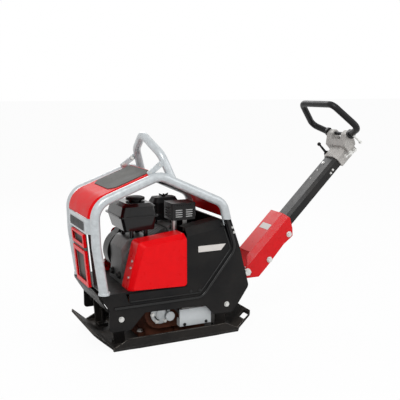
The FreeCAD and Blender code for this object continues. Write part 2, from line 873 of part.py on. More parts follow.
# ------------------------------------------------------------------ tube frame
def frame_points(y):
    line = [(front_x - 18, deck_height), (front_x - 45, 433), (frame_front_x, frame_front_height)]
    line = line + [(frame_apex_x, frame_apex_height), (frame_rear_x, frame_rear_height)]
    line = line + [(rear_x - 100, console_rear_top - 22)]
    return at_y(line, y)


def frame_tube(y_sign):
    y = y_sign * tube_y
    radii = [0, 300, frame_front_radius, frame_apex_radius, frame_rear_radius, 0]
    body = tube(frame_points(y), radii, tube_radius, tube_wall)
    foot = Part.makeCylinder(tube_radius + 4, 8, V(front_x - 18, y, deck_height))
    bore = Part.makeCylinder(tube_radius - tube_wall, 9, V(front_x - 18, y, deck_height))
    body = body.fuse(foot.cut(bore))
    limit = y_sign * side_inner
    slot = box(rear_x - 140, rear_x, min(limit, 2 * limit), max(limit, 2 * limit), 400, console_rear_top + 0.1)
    body = body.cut(slot)
    floor = box(-600, 600, -400, 400, 0, deck_height)
    return body.cut(floor).removeSplitter()


def slope_height(x):
    # height of the tube's centreline above a place on the front or rear slope
    if x < frame_apex_x:
        share = (x - frame_front_x) / (frame_apex_x - frame_front_x)
        return frame_front_height + share * (frame_apex_height - frame_front_height)
    share = (x - frame_apex_x) / (frame_rear_x - frame_apex_x)
    return frame_apex_height + share * (frame_rear_height - frame_apex_height)


def bail_foot_x():
    return frame_apex_x + 58


def bail_lean(z):
    return bail_foot_x() - 0.345 * (z - slope_height(bail_foot_x()))


def lifting_bail():
    foot_z = slope_height(bail_foot_x())
    knee_y = tube_y - bail_knee_inset
    half = [(-tube_y, foot_z), (-knee_y, bail_knee_height)]
    line = half + [(0, bail_height)] + [(-y, z) for y, z in half[::-1]]
    points = [V(bail_lean(z), y, z) for y, z in line]
    body = tube(points, [0, bail_knee_radius, bail_apex_radius, bail_knee_radius, 0], bail_diameter / 2, tube_wall)
    for y_sign in (-1, 1):
        body = body.cut(frame_outer(y_sign))
    return keep_largest(body)


def frame_outer(y_sign):
    radii = [0, 300, frame_front_radius, frame_apex_radius, frame_rear_radius, 0]
    return pipe(frame_points(y_sign * tube_y), radii, tube_radius + 0.02)


def keep_largest(shape):
    pieces = sorted(shape.Solids, key=lambda solid: solid.Volume)
    return pieces[-1]


def strut_ends():
    low_x = frame_apex_x - 32
    low = V(low_x, 0, slope_height(low_x) + tube_radius + 5)
    high_z = bail_knee_height - 40
    high = V(bail_lean(high_z) - bail_diameter / 2 - 12, 0, high_z)
    return low, high


def strut_y():
    return tube_y - 16


def bail_struts():
    low, high = strut_ends()
    along = (high - low).normalize()
    side = V(-along.z, 0, along.x)
    start = low - along * 14
    end = high + along * 22
    corners = [start - side * 11, end - side * 11, end + side * 11, start + side * 11]
    plate = slab([V(p.x, strut_y() - 4, p.z) for p in corners], 6.0, V(0, 8, 0))
    plate = plate.cut(frame_outer(1)).cut(bail_leg(1))
    plate = drill(plate, strut_screw_places(1), 8, 14)
    return both_sides(keep_largest(plate))


def bail_leg(y_sign):
    foot_z = slope_height(bail_foot_x())
    knee_y = tube_y - bail_knee_inset
    start = V(bail_lean(foot_z), y_sign * tube_y, foot_z)
    end = V(bail_lean(bail_knee_height), y_sign * knee_y, bail_knee_height)
    return rod(start, end, bail_diameter / 2 + 0.02)


def strut_screw_places(y_sign):
    low, high = strut_ends()
    y = y_sign * (strut_y() - 4)
    places = []
    for p in (low, high):
        places.append((V(p.x, y, p.z), V(0, -y_sign, 0)))
    return places


# ------------------------------------------------------------------ hood and front
def hood_line(lower_z, rear_x_end):
    # the hood's outer face follows the tubes, a little below their crown
    proud = tube_radius - 4
    slope = math.atan2(frame_apex_height - frame_front_height, frame_apex_x - frame_front_x)
    front = frame_front_x - proud - 2
    rise = proud / math.cos(slope)
    corner_z = slope_height(frame_front_x) + rise - (proud + 2) * math.tan(slope)
    end_z = slope_height(rear_x_end) + rise if rear_x_end < frame_apex_x else corner_z
    return [V(front, 0, lower_z), V(front, 0, corner_z), V(rear_x_end, 0, end_z)]


def hood_section(start, half, drop, thickness):
    edge = tube_inner_y - 1.5
    outer = [(-edge, -drop), (-half, 0), (half, 0), (edge, -drop)]
    inner = [(edge - 1, -drop - thickness), (half - 1, -thickness)]
    inner = inner + [(-half + 1, -thickness), (-edge + 1, -drop - thickness)]
    return bent_line([V(start.x - n, y, start.z) for y, n in outer + inner], 0, True)


def front_hood():
    half = tube_inner_y - hood_edge_inset
    line = hood_line(band_top + 1, frame_apex_x - 9)
    path = bent_line(line, [0, frame_front_radius + 12, 0])
    section = hood_section(line[0], half, hood_chamfer_drop, hood_sheet)
    return path.makePipeShell([section], True, False)


def hood_top_panel():
    line = hood_line(band_top, frame_apex_x - 9)
    along = (line[2] - line[1]).normalize()
    up = V(-along.z, 0, along.x)
    end = line[2] - along * 6
    start = end - along * hood_panel_length
    half = tube_inner_y - hood_edge_inset - 14
    cut = 34.0
    base = up * 0.05
    corners = [start + V(0, -half + cut, 0), start + along * 26 + V(0, -half, 0), end + V(0, -half, 0)]
    corners = corners + [V(p.x, -p.y, p.z) for p in corners[::-1]]
    return slab([p + base for p in corners], 5.0, up * 3.0)


def front_face_x():
    return frame_front_x - tube_radius + 4 - 2


def front_band():
    face = front_face_x() - band_proud + 1
    edge = tube_inner_y + 2
    half = tube_inner_y - 38
    back = face + 24 + band_proud
    line = [(back, -edge), (face, -half), (face, half), (back, edge)]
    points = at_z(line, band_bottom)[::-1]
    body = sheet(points, [0, 6, 6, 0], 3.0, Z_DIR, V(0, 0, band_top - band_bottom))
    for y_sign in (-1, 1):
        body = body.cut(frame_outer(y_sign))
    return keep_largest(body)


def leaned(shape):
    # the grille panels lean back with the front legs
    placed = shape.copy()
    placed.rotate(V(0, 0, grille_bottom), Y_DIR, -grille_lean)
    placed.translate(V(grille_foot_x(), 0, 0))
    return placed


def grille_foot_x():
    lean = math.tan(math.radians(grille_lean))
    return front_face_x() + 2 - grille_proud + (band_bottom - grille_bottom) * lean


def frame_panel(z0, z1, border, top_border):
    half = grille_half_width
    outer = [(-half, z0), (half, z0), (half, z1), (-half, z1)]
    hole = [(-half + border, z0 + border), (half - border, z0 + border)]
    hole = hole + [(half - border, z1 - top_border), (-half + border, z1 - top_border)]
    panel = slab_x(outer, 4.0, 0, 12)
    panel = panel.cut(slab_x(hole, 5.0, -1, 13))
    pocket = [(-half + 3, z0 + 3), (half - 3, z0 + 3), (half - 3, z1 - 3), (-half + 3, z1 - 3)]
    return panel.cut(slab_x(pocket, 4.0, 3, 13))


def grille_frames():
    lower = frame_panel(grille_bottom, grille_lower_top, 19.0, 17.0)
    upper = frame_panel(grille_upper_bottom, band_bottom - 8, 13.0, 8.0)
    return Part.makeCompound([leaned(lower), leaned(upper)])


def grille_screen():
    half = grille_half_width + 1
    z1 = band_bottom - 2
    outline = [(-half, grille_bottom + 2), (half, grille_bottom + 2), (half, z1), (-half, z1)]
    panel = slab_x(outline, 3.0, 14, 16)
    rail = [(-half, grille_lower_top + 1), (half, grille_lower_top + 1)]
    rail = rail + [(half, grille_upper_bottom - 1), (-half, grille_upper_bottom - 1)]
    panel = panel.fuse(slab_x(rail, 2.0, 5, 15))
    return leaned(panel.removeSplitter())


def front_wings():
    lean = math.tan(math.radians(grille_lean))
    z0 = grille_bottom + 2
    z1 = band_bottom - 1
    foot = grille_foot_x() + 16 + grille_proud / 2
    inner_y = grille_half_width + 3
    outer_y = tube_inner_y - 1
    low_in = V(foot, inner_y, z0)
    low_out = V(foot + 12, outer_y, z0)
    rise = V(-(z1 - z0) * lean, 0, z1 - z0)
    wing = slab([low_in, low_out, low_out + rise, low_in + rise], 0, V(3, 0, 0))
    return both_sides(wing)


# ------------------------------------------------------------------ rear hood
def rear_hood_start():
    return frame_apex_x + 168


def rear_hood():
    y = tube_inner_y - 1
    drop = 6.0
    start = rear_hood_start()
    end = frame_points(y)[5]
    line = [V(start, -y, slope_height(start) + drop), V(frame_rear_x + 2, -y, frame_rear_height + drop)]
    line.append(V(end.x + 6, -y, console_rear_top + 2))
    return sheet(line[::-1], [0, 50, 0], hood_sheet, FRONT_VIEW, V(0, 2 * y, 0))


def rear_hood_frame():
    y = tube_inner_y - 1
    start = rear_hood_start()
    turn = math.atan2(frame_rear_height - frame_apex_height, frame_rear_x - frame_apex_x)
    along = V(math.cos(turn), 0, math.sin(turn))
    up = V(-along.z, 0, along.x)
    front = V(start, -y, slope_height(start)) - along * 4.0
    corners = [front - along * 16 - up * 16, front - up * 16, front + up * 6, front - along * 16 + up * 6]
    bar = slab(corners, 2.0, V(0, 2 * y, 0))
    rail_start = V(frame_apex_x + 30, y - 7, slope_height(frame_apex_x + 30))
    rail = [rail_start - up * 16, front + V(0, 2 * y - 7, 0) - along * 16 - up * 16]
    rail = rail + [front + V(0, 2 * y - 7, 0) - along * 16 + up * 2, rail_start + up * 2]
    near = slab(rail, 0, V(0, 7, 0))
    return bar.fuse(near).fuse(mirrored(near)).removeSplitter()


# ------------------------------------------------------------------ engine
def on_cylinder(shape):
    placed = shape.copy()
    placed.rotate(V(0, 0, 0), Y_DIR, -cylinder_angle)
    placed.translate(V(engine_x, 0, crank_z))
    return placed


def cylinder_end():
    return cylinder_start + 18 + fin_count * fin_pitch


def engine_bolt_places():
    z = deck_height + 14
    xs = (engine_x - 62, engine_x + 74)
    return [(V(x, y, z), Z_DIR) for x in xs for y in (-92, 92)]


def engine_crankcase():
    x0 = engine_x - case_half_length
    x1 = engine_x + case_half_length
    z0 = deck_height + 10
    z1 = crank_z + case_top
    outline = [(x0, z0), (x1 + 20, z0), (x1 + 20, crank_z - 20), (x1 - 30, z1), (x0 + 30, z1), (x0, z1 - 40)]
    body = slab_y(outline, [10, 10, 16, 20, 24, 20], -case_half_width, case_half_width)
    foot = rounded_block(x0, x1 + 16, -case_half_width - 32, case_half_width + 32, deck_height, deck_height + 14, 14)
    body = body.fuse(foot)
    body = body.fuse(disc_y(engine_x, crank_z, 62, -case_half_width - 12, -case_half_width + 2))
    body = body.fuse(disc_y(engine_x, crank_z, 27, -case_half_width - 22, -case_half_width))
    hollow = [(x0 + 10, z0 + 14), (x1 - 2, z0 + 14), (x1 - 2, crank_z - 20), (x1 - 36, z1 - 12), (x0 + 16, z1 - 30)]
    body = body.cut(slab_y(hollow, 8, -case_half_width + 10, case_half_width - 10))
    body = body.cut(disc_y(engine_x, crank_z, shaft_radius + running_fit, -200, 200))
    body = body.cut(cylinder_envelope())
    body = drill(body, engine_bolt_places(), 10, 14)
    body = drill(body, oil_plug_places(), 14, 12)
    return keep_largest(body.removeSplitter())


def cylinder_envelope():
    return on_cylinder(box(cylinder_start, 400, -60, 60, -58, 58))


def engine_cylinder():
    core = box(cylinder_start, cylinder_end(), -38, 38, -38, 38)
    base = box(cylinder_start, cylinder_start + 8, -56, 56, -54, 54)
    body = core.fuse(base)
    for i in range(fin_count):
        x = cylinder_start + 14 + i * fin_pitch
        body = body.fuse(box(x, x + fin_thickness, -56, 56, -53, 53))
    body = body.cut(rod(V(cylinder_start - 1, 0, 0), V(cylinder_end() + 1, 0, 0), 31))
    return on_cylinder(body.removeSplitter())


def cylinder_head():
    x0 = cylinder_end()
    body = box(x0, x0 + 24, -56, 56, -52, 52)
    for i in range(4):
        z = -44 + i * 26
        body = body.cut(box(x0 + 7, x0 + 25, -57, -40, z, z + 9))
    outline = [(-46, -38), (46, -38), (46, 38), (-46, 38)]
    body = body.fuse(slab_x(outline, 12, x0 + 24, x0 + 42))
    plug = rod(V(x0 + 12, 56, 0), V(x0 + 12, 86, 6), 9)
    return on_cylinder(body.fuse(plug).removeSplitter())


def oil_plug_places():
    x = engine_x - case_half_length
    return [(V(x, -44, deck_height + 34), V(-1, 0, 0)), (V(x, 44, deck_height + 34), V(-1, 0, 0))]


def crankshaft():
    near_end = belt_y - clutch_width / 2 - 4
    far_end = 128.0
    body = disc_y(engine_x, crank_z, shaft_radius, near_end, far_end)
    for y in (-30, 18):
        body = body.fuse(disc_y(engine_x, crank_z, 46, y, y + 12))
    body = body.cut(disc_y(engine_x, crank_z, shaft_radius + 3, -18, 18))
    pin_z = crank_z + 26
    body = body.fuse(disc_y(engine_x, pin_z, 15, -30, 30))
    return body.removeSplitter()


def clutch_drum():
    drum = groove_pulley(engine_x, crank_z, clutch_radius, clutch_width, shaft_radius, belt_y)
    hub = ring_y(engine_x, crank_z, 24, shaft_radius, belt_y - clutch_width / 2 - 3, belt_y)
    return drum.fuse(hub).removeSplitter()


def flywheel():
    wheel = ring_y(engine_x, crank_z, flywheel_radius, shaft_radius, 90, 112)
    for i in range(12):
        blade = box(52, flywheel_radius - 3, -2, 2, 0, 12)
        blade.rotate(V(0, 0, 0), Z_DIR, i * 30)
        blade.rotate(V(0, 0, 0), X_DIR, -90)
        blade.translate(V(engine_x, 111.5, crank_z))
        wheel = wheel.fuse(blade)
    return wheel.removeSplitter()


def recoil_housing():
    outer = flywheel_radius + 7
    y0 = case_half_width + 10
    shroud = disc_y(engine_x, crank_z, outer, y0, 146)
    top = [(engine_x - 60, crank_z + 60), (engine_x + 120, crank_z + 60), (engine_x + 110, crank_z + 104)]
    top = top + [(engine_x - 30, crank_z + 104)]
    shroud = shroud.fuse(slab_y(top, 12, y0, 136))
    shroud = shroud.cut(disc_y(engine_x, crank_z, outer - 4, y0 + 4, 142))
    shroud = shroud.cut(disc_y(engine_x, crank_z, 40, y0 - 1, y0 + 5))
    recoil = disc_y(engine_x, crank_z, recoil_radius, 146, 164)
    recoil = recoil.fuse(Part.makeCone(recoil_radius, recoil_radius - 14, 8, V(engine_x, 164, crank_z), Y_DIR))
    recoil = recoil.cut(disc_y(engine_x, crank_z, recoil_radius - 6, 141, 161))
    body = shroud.fuse(recoil)
    guide_x, guide_z = starter_guide()
    body = body.fuse(disc_y(guide_x, guide_z, 13, 160, 183))
    body = body.cut(disc_y(guide_x, guide_z, 4, 140, 190))
    for i in range(18):
        turn = math.radians(20 * i)
        x = engine_x + (recoil_radius - 23) * math.cos(turn)
        z = crank_z + (recoil_radius - 23) * math.sin(turn)
        body = body.cut(disc_y(x, z, 4.5, 155, 190))
    feet = box(engine_x - 30, engine_x + 30, case_half_width, y0 + 2, crank_z + 50, crank_z + 74)
    return body.fuse(feet).removeSplitter()


def starter_guide():
    return engine_x - 22, crank_z + 18


def starter_grip():
    x, z = starter_guide()
    y = 185.0
    bar = slab_y([(x - 27, z - 8), (x + 27, z - 8), (x + 27, z + 8), (x - 27, z + 8)], 7.5, y, y + 20)
    neck = rod(V(x, y, z), V(x, 144, z), 2.5)
    return bar.fuse(neck).removeSplitter()


def fuel_tank():
    x0 = engine_x - 91
    x1 = engine_x + 75
    y0 = -110.0
    y1 = 104.0
    flange = rounded_block(x0 - 3, x1 + 3, y0 - 3, y1 + 3, tank_flange_height - 3, tank_flange_height + 3, 22)
    rim = rounded_rectangle(x0 + 4, x1 - 4, y0 + 4, y1 - 4, tank_flange_height, 20)
    floor = rounded_rectangle(x0 + 20, x1 - 14, y0 + 14, y1 - 14, tank_bottom, 20)
    shoulder = rounded_rectangle(x0 + 15, x1 - 9, y0 + 10, y1 - 10, tank_top - 12, 20)
    crown = rounded_rectangle(x0 + 36, x1 - 24, y0 + 28, y1 - 28, tank_top, 18)
    body = flange.fuse(loft(floor, rim)).fuse(loft(rim, shoulder)).fuse(loft(shoulder, crown))
    neck = Part.makeCylinder(26, 8, V(engine_x + 9, 0, tank_top - 4))
    body = body.fuse(neck)
    for x, y in ((x0 + 60, y0 + 50), (x1 - 44, y0 + 50), (x0 + 60, y1 - 60), (x1 - 44, y1 - 60)):
        post = Part.makeCylinder(9, 300, V(x, y, tank_bottom - 200))
        body = body.fuse(post.common(box(-400, 400, -400, 400, crank_z + case_top, tank_bottom + 20)))
    return body.removeSplitter()


def fuel_cap():
    x = engine_x + 9
    z = tank_top + 4 + body_gap / 2
    body = Part.makeCylinder(cap_diameter / 2, 9, V(x, 0, z))
    body = body.fuse(Part.makeCone(cap_diameter / 2, cap_diameter / 2 - 10, 4, V(x, 0, z + 9)))
    for i in range(18):
        turn = math.radians(20 * i)
        at = V(x + math.cos(turn) * cap_diameter / 2, math.sin(turn) * cap_diameter / 2, z - 1)
        body = body.cut(Part.makeCylinder(2.2, 11, at))
    return body.removeSplitter()


def muffler_box():
    x0 = engine_x + 124
    return x0, x0 + 108, -(side_y - 59), -(side_y - 59) + 92


def muffler():
    x0, x1, y0, y1 = muffler_box()
    body = rounded_block(x0 + 8, x1 - 8, y0 + 8, y1 - 8, muffler_bottom + 8, muffler_top - 8, 12)
    pipe_x = x0 + 30
    head_z = crank_z + 88
    line = [V(pipe_x, -40, head_z), V(pipe_x, y0 + 50, head_z), V(pipe_x, y0 + 50, muffler_bottom + 10)]
    stay = box(x1 - 44, x1 - 26, y0 + 36, y0 + 40, crank_z + 100, muffler_bottom + 12)
    return keep_largest(body.fuse(pipe(line, [0, 16, 0], 12)).fuse(stay).cut(head_block()).removeSplitter())


def head_block():
    x0 = cylinder_end()
    return on_cylinder(box(cylinder_start, x0 + 43, -57, 57, -54, 54))


def muffler_guard():
    x0, x1, y0, y1 = muffler_box()
    outer = rounded_block(x0, x1, y0, y1, muffler_bottom, muffler_top, 7)
    inner = rounded_block(x0 + 3, x1 - 3, y0 + 3, y1 - 3, muffler_bottom - 1, muffler_top - 3, 5)
    body = outer.cut(inner)
    for column in (x0 + 16, x0 + 62):
        for row in range(4):
            z = muffler_bottom + 12 + row * 9
            body = body.cut(box(column, column + 32, y0 - 1, y0 + 4, z, z + 4.5))
    for i in range(9):
        x = x0 + 18 + i * 9
        body = body.cut(disc_y(x, muffler_top - 9, 2.2, y0 - 1, y0 + 4))
    for row in range(4):
        z = muffler_bottom + 12 + row * 11
        body = body.cut(box(x0 - 1, x1 + 1, y0 + 14, y1 - 18, z, z + 5))
    return body.removeSplitter()


def air_cleaner():
    x0 = engine_x + 112
    x1 = x0 + 122
    y0 = 42.0
    y1 = 132.0
    z0 = muffler_bottom - 14
    base = rounded_block(x0 + 6, x1 - 6, y0 + 6, y1 - 6, z0 - 14, z0, 18)
    case = rounded_block(x0, x1, y0, y1, z0, z0 + 62, 24)
    lid_foot = rounded_rectangle(x0, x1, y0, y1, z0 + 62, 24)
    lid = loft(lid_foot, rounded_rectangle(x0 + 12, x1 - 12, y0 + 12, y1 - 12, z0 + 84, 18))
    body = base.fuse(case).fuse(lid)
    middle = V((x0 + x1) / 2, (y0 + y1) / 2, z0 + 84)
    stud = Part.makeCylinder(4, 12, middle)
    nut = Part.makeCylinder(8, 6, middle)
    outline = [(-20, 90), (-6, 85), (6, 85), (20, 90), (22, 99), (0, 90), (-22, 99)]
    outline = [(middle.x + x, z0 + z) for x, z in outline]
    wing = slab_y(outline, 0, middle.y - 2, middle.y + 2)
    return body.fuse(stud).fuse(nut).fuse(wing).removeSplitter()


def carburettor():
    x0 = engine_x + 150
    z1 = muffler_bottom - 28
    body = box(x0, x0 + 44, 60, 104, z1 - 42, z1)
    body = body.fuse(Part.makeCylinder(19, 16, V(x0 + 22, 84, z1 - 58)))
    throat = rod(V(x0 + 22, 58, z1 - 20), V(x0 + 22, 118, z1 - 20), 15)
    body = body.fuse(throat)
    return body.cut(head_block()).cut(on_cylinder(box(0, 400, 56, 90, -12, 18))).removeSplitter()


def v_belt():
    outer = belt_loop(clutch_radius, exciter_pulley_radius)
    inner = belt_loop(clutch_radius - belt_thickness, exciter_pulley_radius - belt_thickness)
    return outer.cut(inner)


def belt_loop(upper_radius, lower_radius):
    top = V(engine_x, 0, crank_z)
    low = V(exciter_shaft_x, 0, exciter_height)
    along = low - top
    heading = math.atan2(along.z, along.x)
    lean = math.acos((upper_radius - lower_radius) / along.Length)
    corners = []
    for sign in (1, -1):
        turn = V(math.cos(heading + sign * lean), 0, math.sin(heading + sign * lean))
        corners.append((top + turn * upper_radius, low + turn * lower_radius))
    y0 = belt_y - belt_width / 2
    quad = [corners[0][0], corners[0][1], corners[1][1], corners[1][0]]
    body = slab([V(p.x, y0, p.z) for p in quad], 0, V(0, belt_width, 0))
    body = body.fuse(disc_y(engine_x, crank_z, upper_radius, y0, y0 + belt_width))
    return body.fuse(disc_y(exciter_shaft_x, exciter_height, lower_radius, y0, y0 + belt_width)).removeSplitter()


def choke_lever():
    x = engine_x + 172
    z = muffler_bottom - 48
    boss = disc_y(x, z, 6, 119, 124)
    arm = slab_y([(x - 3, z - 34), (x + 3, z - 34), (x + 4, z), (x - 4, z)], 0, 120, 123)
    knob = disc_y(x, z - 34, 6, 119, 126)
    return boss.fuse(arm).fuse(knob).removeSplitter()


def fuel_valve_lever():
    x = engine_x + 172
    z = muffler_bottom - 84
    boss = disc_y(x, z, 7, 106, 112)
    arm = slab_y([(x - 4, z - 4), (x + 30, z - 3), (x + 30, z + 3), (x - 4, z + 4)], 1.5, 107, 111)
    return boss.fuse(arm).removeSplitter()


def engine_switch():
    x = engine_x + 100
    z = crank_z + 84
    knob = disc_y(x, z, 11, 137, 142)
    return knob.fuse(box(x - 3, x + 3, 141, 150, z - 10, z + 10)).removeSplitter()


# ------------------------------------------------------------------ drawbar
def drawbar_bracket():
    half = bracket_half_width
    top = bracket_top
    face_half = 50.0
    sheet_size = bracket_sheet
    low = -62.0
    outer = [(-half, low), (half, low), (half, top - 23), (face_half, top), (-face_half, top), (-half, top - 23)]
    inner = [(-half + sheet_size, low - 1), (half - sheet_size, low - 1), (half - sheet_size, top - 25)]
    inner = inner + [(face_half - 2, top - sheet_size), (-face_half + 2, top - sheet_size), (-half + sheet_size, top - 25)]
    body = slab_x(outer, 0, -21, bracket_length).cut(slab_x(inner, 0, -30, bracket_length + 10))
    side = [(-21, -19), (22, low), (50, low - 2), (212, -55), (270, -63), (294, -36), (bracket_length, 8)]
    side = side + [(bracket_length - 4, top + 1), (62, top + 1), (4, 16), (-14, 6)]
    body = body.common(slab_y(side, 0, -200, 200))
    slot = box(-30, 78, -47, 47, 8, 60)
    body = body.cut(slot)
    brace = box(150, 156, -half + sheet_size, half - sheet_size, -52, beam_bottom)
    body = body.fuse(brace)
    for plate in stop_plate().Solids:
        body = body.fuse(plate)
    body = body.cut(disc_y(0, 0, pivot_radius + running_fit, -200, 200))
    body = lay_on_bar(body)
    return drill(body, drawbar_bolt_places(), 12, 26).removeSplitter()


def stop_plate():
    inner = bracket_half_width - bracket_sheet
    return both_sides(box(-18, -13, 45, inner + 1, -22, -6))


def drawbar_bolt_places():
    places = []
    for s, h in ((113, -48), (262, -42)):
        for y_sign in (-1, 1):
            places.append((along_bar(s, h, y_sign * bracket_half_width), V(0, y_sign, 0)))
    return places


def beam_outline(grown):
    # the bar's section, made larger all round by the given distance
    half = beam_half_width
    cut = beam_chamfer
    outline = [(-half, beam_bottom), (half, beam_bottom), (half, beam_top - cut), (half - cut, beam_top)]
    outline = outline + [(-half + cut, beam_top), (-half, beam_top - cut)]
    return shrink(outline, -grown)


def drawbar_beam():
    half = beam_half_width
    cut = beam_chamfer
    outer = beam_outline(0)
    inner = beam_outline(-beam_wall)
    body = slab_x(outer, 0, beam_start, beam_end).cut(slab_x(inner, 0, beam_start - 1, beam_end - 6))
    inside = bracket_half_width - bracket_sheet
    for y_sign in (-1, 1):
        y0 = half if y_sign > 0 else -inside
        y1 = inside if y_sign > 0 else -half
        body = body.fuse(box(beam_start + 12, beam_start + 100, y0, y1, -30, beam_top - cut))
    filler = box(beam_start + 12, beam_start + 90, -30, 30, beam_top, bracket_top - bracket_sheet)
    body = body.fuse(filler)
    bump = box(330, 372, -24, 24, beam_bottom - 12, beam_bottom)
    return lay_on_bar(body.fuse(bump).removeSplitter())


def drawbar_bolts():
    pieces = [bolt(at, axis, 12, 26) for at, axis in drawbar_bolt_places()]
    end = bracket_half_width
    pin = disc_y(pivot_x, pivot_height, pivot_radius, -end - 1, end + 1)
    for y_sign in (-1, 1):
        head = hexagon(V(pivot_x, y_sign * (end + 1), pivot_height), V(0, y_sign, 0), 28, 9)
        washer = disc_y(pivot_x, pivot_height, 17, y_sign * end, y_sign * (end + 2))
        pin = pin.fuse(head).fuse(washer)
    pieces.append(pin.removeSplitter())
    return Part.makeCompound(pieces)


def handle_head():
    # a cast T-head: a sleeve over the beam's end and two arms to the loop's pivots
    outer = beam_outline(head_wall)
    sleeve = slab_x(outer, 0, head_start, head_end)
    core = slab_x(beam_outline(0.2), 0, head_start - 1, beam_end + 0.2)
    body = sleeve.cut(core)
    arm_half = loop_pivot_y - 17
    outline = [(head_end - 50, -10), (head_end, -10), (loop_pivot_s + 17, loop_pivot_h - 8)]
    outline = outline + [(loop_pivot_s + 17, loop_pivot_h + 14), (loop_pivot_s - 14, loop_pivot_h + 16)]
    outline = outline + [(head_end - 50, 30)]
    arm = slab_y(outline, [4, 8, 12, 12, 12, 6], -arm_half, arm_half)
    body = body.fuse(arm)
    gap = box(head_end - 26, loop_pivot_s + 30, -34, 34, 20, 100)
    body = body.cut(gap)
    body = body.cut(disc_y(loop_pivot_s, loop_pivot_h, 8 + running_fit, -200, 200))
    return lay_on_bar(body.removeSplitter())


def loop_handle():
    s = loop_pivot_s
    line = [(-loop_pivot_y - 8, loop_pivot_h + 10), (-loop_wide_y, loop_wide_h), (-loop_top_y, loop_top_h)]
    line = line + [(-y, h) for y, h in line[::-1]]
    points = [V(s, y, h) for y, h in line]
    body = tube(points, [0, 34, 38, 38, 34, 0], loop_tube / 2, 2.5)
    for y_sign in (-1, 1):
        y0 = loop_pivot_y - 13 if y_sign > 0 else -loop_pivot_y - 3
        outline = [(s - 18, loop_pivot_h - 16), (s + 18, loop_pivot_h - 16)]
        outline = outline + [(s + 18, loop_pivot_h + 24), (s - 18, loop_pivot_h + 24)]
        cheek = slab_y(outline, 12, y0, y0 + 16)
        body = body.fuse(cheek)
    pin = disc_y(s, loop_pivot_h, 8, -loop_pivot_y, loop_pivot_y)
    body = body.fuse(pin)
    return lay_on_bar(body.removeSplitter())


def throttle_lever():
    s = head_start + 26
    y0 = beam_half_width + head_wall + body_gap
    boss = disc_y(s, 0, 14, y0, y0 + 8)
    arm = slab_y([(s - 6, 0), (s + 6, 0), (s + 4, 62), (s - 4, 62)], 3, y0 + 2, y0 + 7)
    knob = Part.makeSphere(9, V(s, y0 + 5, 66))
    return lay_on_bar(boss.fuse(arm).fuse(knob).removeSplitter())


# ------------------------------------------------------------------ fasteners in groups
def frame_bolts():
    pieces = [bolt(at, axis, buffer_bolt, side_thickness + 24) for at, axis in buffer_bolt_places()]
    for y_sign in (-1, 1):
        pieces = pieces + [bolt(at, axis, 8, 8) for at, axis in strut_screw_places(y_sign)]
    return Part.makeCompound(pieces)


def mounting_bolts():
    pieces = [bolt(at, axis, 12, 16) for at, axis in exciter_foot_places()]
    pieces = pieces + [bolt(at, axis, 10, 14) for at, axis in engine_bolt_places()]
    pieces = pieces + [bolt(at, axis, 8, 14) for at, axis in exciter_cover_places()]
    return Part.makeCompound(pieces)


